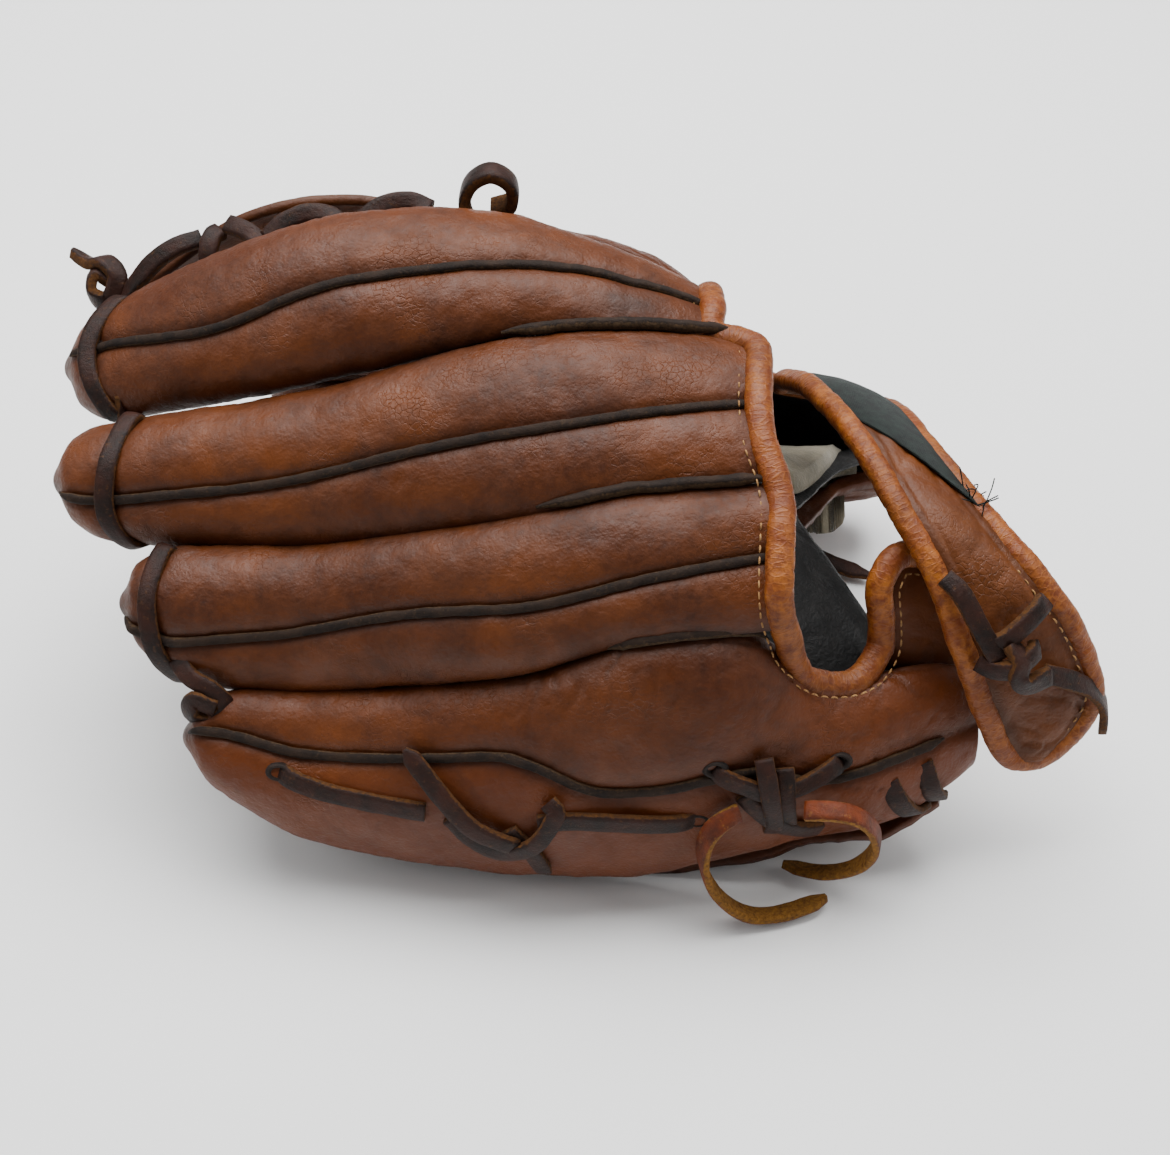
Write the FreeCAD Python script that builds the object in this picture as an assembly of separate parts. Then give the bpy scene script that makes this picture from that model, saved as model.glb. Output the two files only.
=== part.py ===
"""Five-finger baseball glove, standing palm down on its little finger's edge and its thumb's edge.

Row frame, millimetres: +X from the fingertips to the wrist, +Y from the little finger to the thumb,
+Z up, origin at the middle of the footprint on the surface that it stands on.

Each digit is a row of arches across X. An arch has a centre (y, z), a half width, a height on the back of
the hand, a depth on the palm side, a spread (how far round it goes, 90 is half an ellipse) and a lean, the
angle of its width above +Y. Sheets of leather, padding and lining are layers measured inward from one face.
"""

import FreeCAD, Part
import math
import os

V = FreeCAD.Vector
FOOTPRINT = V(4.5, 5.5, 0)     # brings the middle of the footprint, as drawn below, to the origin

# ---------------------------------------------------------------- driving dimensions
SHELL = 4.0            # back leather with its own lining
PALM_LEATHER = 3.0     # palm hide
PALM_PAD = 5.0         # felt between hide and lining
LINING = 1.4           # glove lining leather
LAYER_GAP = 0.2        # air between layers that lie on each other
SEAM_GAP = 0.5         # air between two panels that are sewn edge to edge
PALM_TUCK = 2.5        # how far a digit's palm side is tucked inside the rim of its back
WELT = 1.6             # radius of the welting strip
BINDING = 3.2          # radius of the rolled edge binding
STRAP_BINDING = 2.6    # radius of the rolled binding round the wrist strap
LABEL_THICK = 0.8      # woven label on the wrist strap
FELT = 4.5             # felt pad at the thumb's heel
PALM_START = -14       # x where the digits' palm sides give way to the palm hide
LACE = 2.4             # radius of the round stand-in for flat rawhide lace
ARCH_POINTS = 9        # points across an arch

# x, y, z, half width, back height, palm depth, spread, lean
INDEX = [
    (-152, 21, 103, 5.0, 5.0, 5.0, 90, 30),
    (-148, 20, 104, 12.5, 9.5, 8.0, 90, 30),
    (-136, 18, 108, 19.0, 13.5, 11.0, 90, 30),
    (-80, 16, 129, 24.0, 16.0, 13.0, 90, 32),
    (-20, 20, 136, 24.0, 13.0, 22.0, 80, 6),
    (15, 18, 131, 20.0, 9.0, 30.0, 62, -8),
    (38, 17, 124, 17.0, 6.0, 30.0, 55, -18),
]
MIDDLE = [
    (-148, -20, 95, 5.0, 5.0, 5.0, 90, 42),
    (-144, -20, 95, 12.5, 9.5, 8.0, 90, 42),
    (-130, -20, 95, 18.0, 13.5, 11.0, 90, 42),
    (-80, -22, 100, 22.0, 16.0, 13.0, 90, 43),
    (-20, -27, 119, 26.0, 10.0, 22.0, 76, 35),
    (15, -25, 124, 24.0, 7.0, 30.0, 62, 26),
    (49, -22, 123.5, 24.0, 5.0, 30.0, 55, 14),
]
RING = [
    (-128, -48, 74, 5.0, 5.0, 5.0, 90, 56),
    (-124, -49, 74, 12.0, 9.5, 8.0, 90, 56),
    (-112, -50, 73, 17.0, 13.0, 11.0, 90, 57),
    (-76, -52, 72, 19.0, 15.0, 13.0, 90, 58),
    (-20, -62, 91, 18.0, 9.0, 20.0, 76, 50),
    (15, -61, 101, 18.5, 7.0, 30.0, 62, 43),
    (53, -61, 105, 19.5, 5.0, 30.0, 55, 40),
]
PINKY = [
    (-110, -75, 48, 5.0, 5.0, 5.0, 90, 68),
    (-106, -75, 46, 12.0, 9.0, 8.0, 90, 68),
    (-95, -74, 40, 18.0, 13.0, 11.0, 90, 69),
    (-76, -75, 34, 23.5, 16.0, 12.0, 90, 71),
    (-20, -80, 34.5, 31.0, 18.0, 13.0, 90, 79),
    (15, -81, 44.0, 40.5, 17.0, 14.0, 84, 79),
    (46, -80, 49.5, 38.0, 14.5, 14.0, 80, 76),
    (66, -78, 41.0, 27.0, 13.0, 12.0, 80, 74),
    (90, -72, 41.0, 25.0, 11.0, 10.0, 80, 68),
    (105, -67, 42.5, 20.0, 9.0, 9.0, 80, 65),
]
THUMB = [
    (-106, 81, 44, 5.0, 5.0, 5.0, 90, -74),
    (-102, 81, 43, 12.0, 9.0, 8.0, 90, -74),
    (-90, 80, 38, 20.0, 13.0, 11.0, 90, -75),
    (-58, 80, 34, 30.0, 15.0, 12.0, 90, -75),
    (-30, 78, 43, 40.0, 17.0, 14.0, 86, -72),
    (-4, 71, 59.0, 58.0, 19.0, 16.0, 80, -70),
    (20, 68, 59.5, 58.5, 17.0, 16.0, 76, -70),
    (38, 65, 54.0, 52.5, 15.0, 15.0, 76, -68),
    (60, 67, 41, 34.0, 13.0, 13.0, 80, -68),
    (82, 66, 40, 26.0, 12.0, 11.0, 80, -70),
    (104, 63, 40, 18.0, 9.0, 9.0, 80, -70),
]

# Pocket face of the palm hide, (y, z) from the outer edge to the fold, at each x.
FINGER_PALM = [
    (-13, [(-91, 0.3), (-82, 1.2), (-74, 11), (-64, 34), (-46, 73), (-14, 99), (22, 111)]),
    (20, [(-93, 0.3), (-84, 1.2), (-73, 10), (-61, 30), (-42, 62), (-16, 83), (19, 93)]),
    (50, [(-92, 7), (-83, 8), (-73, 15), (-62, 29), (-46, 47), (-24, 62), (10, 68)]),
    (66, [(-88, 11.5), (-80, 12.5), (-72, 18), (-64, 28), (-52, 42), (-34, 52), (-5, 56)]),
    (88, [(-84, 13.5), (-77, 14.5), (-71, 19), (-66, 26), (-60, 34), (-53, 40), (-44, 45)]),
    (106, [(-76, 21.5), (-71, 22), (-66, 25), (-62, 30), (-58, 35), (-54, 39), (-50, 42)]),
]
THUMB_PALM = [
    (-13, [(92, 0.3), (83, 1.2), (66, 11), (57, 34), (50, 62), (41, 84), (30, 98)]),
    (20, [(90, 0.3), (81, 1.2), (64, 10), (56, 30), (49, 52), (40, 70), (24, 87)]),
    (50, [(84, 3.5), (76, 4.5), (62, 12), (53, 27), (44, 41), (33, 53), (15, 63)]),
    (66, [(78, 8), (72, 9), (60, 15), (52, 26), (40, 37), (26, 46), (2, 52)]),
    (86, [(73, 12), (68, 13), (59, 18), (54, 23), (50, 28), (46, 33), (40, 37)]),
    (102, [(68, 19), (64, 20), (58, 22), (55, 25), (53, 28), (51, 31), (49, 34)]),
]
# Outer face of the web, (y, z) from the index finger to the thumb, tip end first.
WEB = [
    (-128, [(44, 115), (50, 111), (56, 106), (62, 100)]),
    (-100, [(45, 134), (58, 124), (70, 102), (77, 68)]),
    (-66, [(47, 141), (62, 128), (73, 104), (76, 70)]),
    (-38, [(50, 134), (61, 124), (69, 108), (70, 88)]),
]
WEB_THICK = 4.0
# Gusset behind the web, (y, z) from the index finger to just over the thumb's top edge.
GUSSET = [
    (-32, [(50, 136), (57, 130), (63, 121), (67.5, 110)]),
    (-4, [(46, 135), (52, 131), (57, 126), (60.5, 120)]),
    (20, [(42, 127), (48, 125), (53, 122.5), (56.5, 119.5)]),
    (36, [(37, 116), (43, 115), (48.5, 112.5), (53, 109)]),
]
GUSSET_THICK = 3.0
# Flap at the little finger's heel, which the wrist strap is laced to.
HEEL_FLAP = [
    (83, [(-60, 58), (-58, 70), (-54, 82), (-48, 90)]),
    (94, [(-59, 58), (-56, 69), (-52, 80), (-45, 87)]),
    (104, [(-58, 56), (-54, 66), (-50, 75), (-44, 81)]),
    (113, [(-57, 52), (-53, 60), (-49, 68), (-46, 72)]),
]
FLAP_THICK = 3.0

# Wrist strap: (x, y, z) along its edge by the fingers and along its edge by the wrist, little finger end first.
STRAP_INNER = [(121, -79, 43), (113, -76, 57), (104, -69, 77), (96, -57, 94), (86, -40, 105), (77, -16, 109),
               (68, 10, 105), (63, 32, 92), (62, 44, 80)]
STRAP_OUTER = [(133, -77, 42), (144, -69, 55), (139, -63, 72), (126, -56, 90), (112, -38, 98), (100, -14, 101),
               (94, 10, 96), (90, 30, 83), (90, 42, 71)]
STRAP_CENTRE = V(98, -14, 30)     # the strap bows outward from here
STRAP_THICK = 3.0
STRAP_LINING = 1.0
STRAP_BOW = 2.5
LABEL = (5, 8, 0.62, 0.98)        # rows along the strap and fractions across it

# ---------------------------------------------------------------- interpolation
def hermite(keys, values, x):
    """Smooth curve through (key, value) pairs, level with its neighbours' chord at each key."""
    last = len(keys) - 1
    i = max(0, min(last - 1, sum(1 for k in keys[1:-1] if k <= x)))

    def slope(j):
        lo, hi = max(0, j - 1), min(last, j + 1)
        return (values[hi] - values[lo]) / (keys[hi] - keys[lo])

    span = keys[i + 1] - keys[i]
    t = (x - keys[i]) / span
    a = 2 * t**3 - 3 * t**2 + 1
    b = t**3 - 2 * t**2 + t
    return (a * values[i] + b * span * slope(i)
            + (1 - a) * values[i + 1] + (t**3 - t**2) * span * slope(i + 1))


def station(digit, x):
    """The arch of a digit at x: y, z, half width, back height, palm depth, spread, lean."""
    keys = [row[0] for row in digit]
    return [hermite(keys, [row[k] for row in digit], x) for k in range(1, 8)]


def to_row(x, y, z, lean, across, up):
    """A point of an arch, across its width and up its height, in the row frame."""
    c, s = math.cos(math.radians(lean)), math.sin(math.radians(lean))
    return V(x, y + across * c - up * s, z + across * s + up * c)


def arch(digit, x, palm_side=False, trim=0.0):
    """Points across a digit's arch at x, low edge first, each with its outward unit normal."""
    y, z, half, back, palm, spread, lean = station(digit, x)
    height = -palm if palm_side else back
    turn = 90.0 if palm_side else spread
    half -= min(trim, 0.2 * half)
    flat = math.cos(math.radians(turn))
    pairs = []
    for i in range(ARCH_POINTS):
        a = math.radians(turn * (2 * i / (ARCH_POINTS - 1) - 1))
        across = half * math.sin(a) / math.sin(math.radians(turn))
        up = height * (math.cos(a) - flat) / (1 - flat)
        run = half * math.cos(a) / math.sin(math.radians(turn))
        rise = -height * math.sin(a) / (1 - flat)
        size = math.hypot(run, rise) or 1.0
        out = -1 if palm_side else 1
        point = to_row(x, y, z, lean, across, up)
        normal = to_row(0, 0, 0, lean, -rise * out / size, run * out / size)
        pairs.append((point, normal))
    return pairs


def flat_normals(points, outward):
    """Pairs each point of a section with its normal in the YZ plane, on the side that outward points to."""
    pairs = []
    for i, p in enumerate(points):
        d = points[min(i + 1, len(points) - 1)] - points[max(i - 1, 0)]
        n = V(0, -d.z, d.y).normalize()
        pairs.append((p, n if n.dot(outward) > 0 else n * -1))
    return pairs


# ---------------------------------------------------------------- solids
def spline(points):
    curve = Part.BSplineCurve()
    curve.interpolate(points)
    return curve.toShape()


def sheet(sections, start, end, ruled=False):
    """A closed sheet lofted through sections of (point, normal), from start to end mm below their face."""
    wires = []
    for pairs in sections:
        face = [p - n * start for p, n in pairs]
        back = [p - n * end for p, n in pairs]
        wires.append(Part.Wire([
            spline(face),
            Part.LineSegment(face[-1], back[-1]).toShape(),
            spline(back[::-1]),
            Part.LineSegment(back[0], face[0]).toShape(),
        ]))
    return Part.makeLoft(wires, True, ruled)


def route(points):
    """Straight runs joined by tangent arcs, each 0.45 of its shorter run; also gives the arcs' radii."""
    edges, radii, here = [], [], points[0]
    for a, b, c in zip(points, points[1:], points[2:]):
        into, away = (b - a).normalize(), (c - b).normalize()
        turn = math.acos(max(-1.0, min(1.0, into.dot(away))))
        cut = 0.45 * min((b - a).Length, (c - b).Length)
        first, last = b - into * cut, b + away * cut
        inward = (away - into).normalize()
        radius = cut / math.tan(turn / 2)
        centre = b + inward * (radius / math.cos(turn / 2))
        middle = centre - inward * radius
        edges += [Part.LineSegment(here, first).toShape(), Part.Arc(first, middle, last).toShape()]
        radii.append(radius)
        here = last
    edges.append(Part.LineSegment(here, points[-1]).toShape())
    return Part.Wire(edges), radii


def tube(points, radius):
    """A round tube along a route."""
    points = [V(*p) for p in points]
    path, _ = route(points)
    ring = Part.Circle(points[0], points[1] - points[0], radius).toShape()
    return path.makePipeShell([Part.Wire(ring)], True, True)


def save(name, shape):
    solids = shape.Solids
    if not solids or not shape.isValid():
        raise RuntimeError(f"{name}: not a valid solid")
    shape.translate(FOOTPRINT)
    shape.exportStep(f"parts/{name}.step")
    print(f"{name:28s} {len(solids):2d} solid(s)  {shape.Volume / 1000:8.2f} cm3")


def surface(digit, x, u, lift=0.0):
    """A point on a digit's back at x, u from -1 at the low edge to 1 at the high edge, lifted off the face."""
    y, z, half, back, _, spread, lean = station(digit, x)
    turn = math.radians(spread)
    a = turn * u
    flat = math.cos(turn)
    across = half * math.sin(a) / math.sin(turn)
    up = back * (math.cos(a) - flat) / (1 - flat)
    run, rise = half * math.cos(a) / math.sin(turn), -back * math.sin(a) / (1 - flat)
    size = math.hypot(run, rise)
    return to_row(x, y, z, lean, across - rise * lift / size, up + run * lift / size)


def rod(points, radius):
    """A round strand along a smooth curve through points."""
    curve = Part.BSplineCurve()
    curve.interpolate(points)
    start, along = curve.value(curve.FirstParameter), curve.tangent(curve.FirstParameter)[0]
    ring = Part.Circle(start, along, radius).toShape()
    return Part.Wire([curve.toShape()]).makePipeShell([Part.Wire(ring)], True, True)


def strand(digit, spots, radius, lift=None):
    """A round strand lying on a digit's back through (x, u) spots."""
    height = radius + 0.2 if lift is None else lift
    return rod([surface(digit, x, u, height) for x, u in spots], radius)


def digit_shell(digit, palm_side=False):
    """The back of a digit over its whole length, or its palm side out to where the palm hide begins."""
    if palm_side:
        stations = [row[0] for row in digit if row[0] < PALM_START] + [PALM_START]
        return sheet([arch(digit, x, True, PALM_TUCK) for x in stations], 0, PALM_LEATHER)
    return sheet([arch(digit, row[0], False, SEAM_GAP) for row in digit], 0, SHELL)


def layer(table, out, start, end, first=0, last=None):
    """A sheet between start and end mm above the pocket face of a palm table."""
    sections = [flat_normals([V(x, y, z) for y, z in line], out)[first:last] for x, line in table]
    return sheet(sections, -start, -end, ruled=True)


def skin(table, out, thickness):
    """A sheet whose outer face follows a table of (y, z) rows."""
    sections = [flat_normals([V(x, y, z) for y, z in line], out) for x, line in table]
    return sheet(sections, 0, thickness)


def strap_band(start, end, first=0, last=None, low=0.0, high=1.0):
    """Part of the wrist strap: rows first to last, low to high across it, start to end mm below its face."""
    sections = []
    for a, b in list(zip(STRAP_INNER, STRAP_OUTER))[first:last]:
        a, b = V(*a), V(*b)
        across = (b - a).normalize()
        out = (a + b) * 0.5 - STRAP_CENTRE
        out = (out - across * out.dot(across)).normalize()
        line = []
        for k in range(5):
            t = low + (high - low) * k / 4
            bow = out * (STRAP_BOW * 4 * t * (1 - t))
            tilt = (out - across * (4 * STRAP_BOW * (1 - 2 * t) / (b - a).Length)).normalize()
            line.append((a + (b - a) * t + bow, tilt))
        sections.append(line)
    return sheet(sections, start, end)


os.makedirs("parts", exist_ok=True)
TO_LITTLE, TO_THUMB = V(0, -1, 1), V(0, 1, 1)

# ---------------------------------------------------------------- digits
for name, digit in (("index", INDEX), ("middle", MIDDLE), ("ring", RING), ("pinky", PINKY), ("thumb", THUMB)):
    save(f"{name}_back", digit_shell(digit))
    save(f"{name}_front", digit_shell(digit, palm_side=True))

# ---------------------------------------------------------------- palm, in layers from the pocket to the hand
pad_start = PALM_LEATHER + LAYER_GAP
lining_start = pad_start + PALM_PAD + LAYER_GAP
for side, table, out in (("finger", FINGER_PALM, TO_LITTLE), ("thumb", THUMB_PALM, TO_THUMB)):
    save(f"{side}_palm_hide", layer(table, out, 0, PALM_LEATHER))
    save(f"{side}_palm_pad", layer(table, out, pad_start, pad_start + PALM_PAD, 2))
    save(f"{side}_palm_lining", layer(table, out, lining_start, lining_start + LINING, 2))
felt_start = lining_start + LINING + LAYER_GAP
save("thumb_heel_felt", layer(THUMB_PALM[3:5], TO_THUMB, felt_start, felt_start + FELT, 2, 6))

# ---------------------------------------------------------------- web, gusset and heel flap
save("web_panel", skin(WEB, TO_THUMB, WEB_THICK))
save("thumb_gusset", skin(GUSSET, TO_THUMB, GUSSET_THICK))
save("heel_flap", skin(HEEL_FLAP, TO_LITTLE, FLAP_THICK))

# ---------------------------------------------------------------- welts
WELTS = {
    "index_welt": (INDEX, [(-139, 0.03), (-105, -0.15), (-69, -0.06), (-17, -0.22), (5, -0.23), (37, -0.24)]),
    "middle_welt": (MIDDLE, [(-134, -0.28), (-105, -0.17), (-49, -0.07), (5, -0.1), (48, -0.06)]),
    "ring_welt": (RING, [(-115, -0.25), (-90, -0.07), (-49, 0.03), (5, -0.16), (52, 0.0)]),
    "pinky_welt": (PINKY, [(-106, 0.4), (-78, 0.31), (-28, 0.36), (-14, 0.3), (8, 0.05), (43, 0.02), (102, 0.06)]),
    "thumb_welt": (THUMB, [(-100, 0.0), (-58, 0.0), (-4, 0.0), (38, 0.0), (100, 0.0)]),
}
for name, (digit, spots) in WELTS.items():
    save(name, strand(digit, spots, WELT, lift=0.0))
CROTCHES = {
    "index_middle_crotch_welt": (MIDDLE, [(-22, 0.97), (5, 0.99), (25, 1.0), (45, 1.0)]),
    "middle_ring_crotch_welt": (RING, [(2, 1.0), (20, 1.02), (51, 1.03)]),
    "ring_pinky_crotch_welt": (PINKY, [(10, 1.02), (31, 1.02), (50, 1.03)]),
}
for name, (digit, spots) in CROTCHES.items():
    save(name, strand(digit, spots, WELT, lift=WELT))

# ---------------------------------------------------------------- rolled bindings
edge = [surface(INDEX, 37, u) for u in (0.9, 0.3, -0.35, -0.9)]
edge += [surface(MIDDLE, 48, u) for u in (0.75, 0.2, -0.45)]
edge += [surface(RING, 52, u) for u in (0.85, 0.1, -0.6)]
edge += [surface(PINKY, x, 0.96) for x in (59, 67, 76)]
edge += [V(83, -60.5, 68), V(83, -57, 76), V(82, -53, 86), V(86, -47.5, 91), V(93, -45, 90)]
save("back_opening_binding", rod(edge, BINDING))
thumb_edge = [surface(THUMB, x, -0.97) for x in (40, 52, 64, 80, 96)]
save("thumb_opening_binding", rod(thumb_edge, BINDING))

# ---------------------------------------------------------------- wrist strap
save("wrist_strap", strap_band(0, STRAP_THICK))
save("strap_lining", strap_band(STRAP_THICK + LAYER_GAP, STRAP_THICK + LAYER_GAP + STRAP_LINING))
save("strap_label", strap_band(-LABEL_THICK - 0.3, -0.3, LABEL[0], LABEL[1] + 1, LABEL[2], LABEL[3]))
rim = [V(*p) for p in STRAP_INNER[::-1]] + [V(*p) for p in STRAP_OUTER]
rim = [p - (p - STRAP_CENTRE).normalize() * (STRAP_THICK * 0.5) for p in rim]
save("strap_binding", rod(rim, STRAP_BINDING))

# ---------------------------------------------------------------- laces
tips = [surface(INDEX, x, u, LACE) for x, u in ((-136, 0.6), (-142, 0.25), (-144, -0.05), (-142, -0.4), (-136, -0.8))]
tips += [surface(MIDDLE, x, u, LACE) for x, u in ((-127, 0.7), (-131, 0.1), (-132, -0.45), (-126, -0.9))]
tips += [surface(RING, x, u, LACE) for x, u in ((-116, 0.8), (-119, 0.2), (-118, -0.35), (-113, -0.8))]
tips += [V(-107, -70, 62)]
save("fingertip_lace", rod(tips, LACE))
save("index_tip_knot", tube([V(-136, 38, 113), V(-141, 44, 117), V(-147, 45, 121), V(-146, 39, 125), V(-140, 40, 124),
                            V(-139, 47, 121), V(-145, 50, 121), V(-153, 52, 124)], LACE))
save("ring_pinky_knot", tube([V(-112, -64, 68), V(-108, -70, 65), V(-101, -73, 63), V(-98, -72, 57),
                             V(-104, -74, 55), V(-109, -74, 57)], LACE))
save("web_index_lace", tube([V(-138, 42, 116), V(-128, 45, 125), V(-115, 44, 133), V(-105, 42, 137), V(-98, 50, 139),
                            V(-90, 43, 141), V(-80, 51, 143), V(-72, 44, 145), V(-62, 52, 145)], LACE))
save("web_thumb_lace", tube([V(-104, 86, 64), V(-94, 82, 72), V(-86, 88, 66), V(-76, 82, 76), V(-66, 89, 68),
                            V(-56, 82, 80), V(-48, 86, 76)], LACE))
save("top_loop_lace", tube([V(-31, 43, 137), V(-34, 45, 144), V(-32, 46, 151), V(-26, 46, 155), V(-20, 46, 151),
                           V(-20, 47, 144), V(-26, 48, 141)], LACE))
save("pinky_edge_lace", strand(PINKY, [(-82, 0.12), (-64, 0.05), (-44, 0.02), (-24, -0.02), (-3, -0.05), (14, -0.12),
                                       (31, -0.2)], LACE))
save("pinky_edge_knot", tube([surface(PINKY, x, u, h) for x, u, h in (
    (-46, 0.38, 3.2), (-38, 0.16, 6.0), (-29, -0.03, 8.2), (-18, -0.12, 8.2), (-9, 0.03, 6.5), (-8, -0.2, 4.0),
    (-11, -0.36, 3.2))], LACE))
save("heel_knot", tube([surface(PINKY, x, u, h) for x, u, h in (
    (37, 0.06, 2.6), (46, -0.06, 4.2), (52, -0.26, 4.6), (59, -0.26, 4.2), (63, -0.02, 3.6),
    (70, 0.16, 2.6))], LACE))
save("heel_edge_lace", rod([surface(PINKY, x, u, 2.6) for x, u in (
    (87, -0.2), (94, -0.55), (101, -0.75), (106, -0.55), (108, -0.2))], LACE))
save("strap_lace", tube([V(96, -63, 97), V(104, -67, 93), V(111, -71, 83), V(118, -71, 82), V(122, -67, 87),
                        V(119, -66, 93), V(112, -68, 89), V(109, -73, 79), V(116, -73, 74), V(124, -71, 74)], LACE))

# ---------------------------------------------------------------- free lace ends, round stand-ins for flat rawhide
TAILS = {
    "heel_tail_left": [(43, -99.5, 45), (37, -102, 44), (33, -104, 36), (34, -106, 25), (39, -106.5, 14),
                       (47, -106, 5), (56, -104.5, 3), (64.5, -101.5, 3), (71, -98.5, 3.2)],
    "heel_tail_right": [(61, -99, 45), (68, -101, 48), (76, -101, 45), (81.5, -99.5, 36), (83, -98, 26),
                        (79.5, -96, 15), (73, -93, 7.5), (66, -90.5, 5), (59, -88, 5)],
    "strap_tail": [(126, -73, 72), (136, -71, 67), (144.5, -69, 59), (148.5, -68, 50), (149.5, -68, 41)],
    "pocket_tail": [(72, 46, 10), (79, 42, 6), (88, 38, 4), (100, 33, 3.4)],
}
for name, points in TAILS.items():
    save(name, tube(points, LACE))
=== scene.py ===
"""Five-finger baseball glove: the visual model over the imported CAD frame."""
import math

import bmesh
import bpy
import numpy as np
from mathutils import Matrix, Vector, noise


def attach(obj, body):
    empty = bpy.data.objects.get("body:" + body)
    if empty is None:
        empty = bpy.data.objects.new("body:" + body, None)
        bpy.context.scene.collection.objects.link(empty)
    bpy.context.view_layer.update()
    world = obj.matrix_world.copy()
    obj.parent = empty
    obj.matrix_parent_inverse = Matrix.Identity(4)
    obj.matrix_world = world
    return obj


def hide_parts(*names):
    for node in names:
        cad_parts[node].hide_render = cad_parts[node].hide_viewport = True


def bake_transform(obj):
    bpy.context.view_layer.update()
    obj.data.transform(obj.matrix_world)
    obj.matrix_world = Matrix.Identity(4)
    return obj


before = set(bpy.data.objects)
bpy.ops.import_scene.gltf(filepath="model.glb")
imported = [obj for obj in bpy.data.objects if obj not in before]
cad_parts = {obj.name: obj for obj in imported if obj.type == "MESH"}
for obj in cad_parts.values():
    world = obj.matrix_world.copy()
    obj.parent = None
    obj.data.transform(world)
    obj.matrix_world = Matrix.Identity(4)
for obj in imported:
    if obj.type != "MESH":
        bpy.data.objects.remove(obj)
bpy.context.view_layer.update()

SHIFT = np.array((4.5, 5.5, 0.0))   # the drawing frame's offset from the row frame, as in the CAD, in mm

# ------------------------------------------------------------------ digit tables
# The fingers are a little plumper here than their CAD shells, so that their sides meet.
# x, y, z, half width, back height, palm depth, spread, lean
INDEX = [
    (-152, 21, 103, 5.0, 5.0, 5.0, 90, 30),
    (-148, 20, 104, 12.5, 9.5, 8.0, 90, 30),
    (-136, 18, 108, 19.0, 13.5, 11.0, 90, 30),
    (-80, 16, 129, 25.0, 16.0, 13.0, 90, 32),
    (-20, 20, 136, 25.0, 13.0, 22.0, 80, 6),
    (15, 18, 131, 21.0, 9.0, 30.0, 62, -8),
    (38, 17, 124, 17.0, 6.0, 30.0, 55, -18),
]
MIDDLE = [
    (-148, -20, 95, 5.0, 5.0, 5.0, 90, 42),
    (-144, -20, 95, 12.5, 9.5, 8.0, 90, 42),
    (-130, -20, 95, 18.0, 13.5, 11.0, 90, 42),
    (-80, -22, 100, 23.0, 16.0, 13.0, 90, 43),
    (-20, -27, 119, 27.2, 10.0, 22.0, 76, 35),
    (15, -25, 124, 25.2, 7.0, 30.0, 62, 26),
    (49, -22, 123.5, 24.6, 5.0, 30.0, 55, 14),
]
RING = [
    (-128, -48, 74, 5.0, 5.0, 5.0, 90, 56),
    (-124, -49, 74, 13.0, 9.5, 8.0, 90, 56),
    (-112, -50, 73, 19.3, 13.0, 11.0, 90, 57),
    (-76, -52, 72, 22.4, 15.0, 13.0, 90, 58),
    (-20, -62, 90.5, 22.2, 9.0, 20.0, 76, 50),
    (15, -61, 100.5, 21.0, 7.0, 30.0, 62, 43),
    (53, -61, 105, 20.2, 5.0, 30.0, 55, 40),
]
PINKY = [
    (-110, -75, 48, 5.0, 5.0, 5.0, 90, 68),
    (-106, -75, 46, 12.0, 9.0, 8.0, 90, 68),
    (-95, -74, 41, 19.5, 13.0, 11.0, 90, 69),
    (-76, -75, 35.5, 25.5, 16.0, 12.0, 90, 71),
    (-20, -80, 37.2, 35.3, 18.0, 13.0, 90, 79),
    (15, -81, 45.0, 43.0, 17.0, 14.0, 84, 79),
    (46, -80, 49.5, 39.0, 14.5, 14.0, 80, 76),
    (66, -78, 41.0, 27.0, 13.0, 12.0, 80, 74),
    (90, -72, 41.0, 25.0, 11.0, 10.0, 80, 68),
    (105, -67, 42.5, 20.0, 9.0, 9.0, 80, 65),
    (113, -64, 42.5, 15.5, 7.0, 7.0, 80, 63),
]
THUMB = [
    (-106, 81, 44, 5.0, 5.0, 5.0, 90, -74),
    (-102, 81, 43, 12.0, 9.0, 8.0, 90, -74),
    (-90, 80, 38, 20.0, 13.0, 11.0, 90, -75),
    (-58, 80, 34, 30.0, 15.0, 12.0, 90, -75),
    (-30, 78, 43, 40.0, 17.0, 14.0, 86, -72),
    (-4, 71, 59.0, 58.0, 19.0, 16.0, 80, -70),
    (20, 68, 59.5, 58.5, 17.0, 16.0, 76, -70),
    (38, 65, 54.0, 52.5, 15.0, 15.0, 76, -68),
    (60, 67, 41, 34.0, 13.0, 13.0, 80, -68),
    (82, 66, 40, 26.0, 12.0, 11.0, 80, -70),
    (104, 63, 40, 18.0, 9.0, 9.0, 80, -70),
]
FINGER_PALM = [
    (-13, [(-86, 2.0), (-80, 3.0), (-74, 11), (-64, 34), (-46, 73), (-14, 99), (22, 111)]),
    (20, [(-88, 2.0), (-81, 3.0), (-73, 10), (-61, 30), (-42, 62), (-16, 83), (19, 93)]),
    (50, [(-88, 8), (-82, 9), (-73, 15), (-62, 29), (-46, 47), (-24, 62), (10, 68)]),
    (66, [(-85, 13), (-79, 14), (-72, 18), (-64, 28), (-52, 42), (-34, 52), (-5, 56)]),
    (88, [(-84, 13.5), (-77, 14.5), (-71, 19), (-66, 26), (-60, 34), (-53, 40), (-44, 45)]),
    (106, [(-76, 21.5), (-71, 22), (-66, 25), (-62, 30), (-58, 35), (-54, 39), (-50, 42)]),
]
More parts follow.
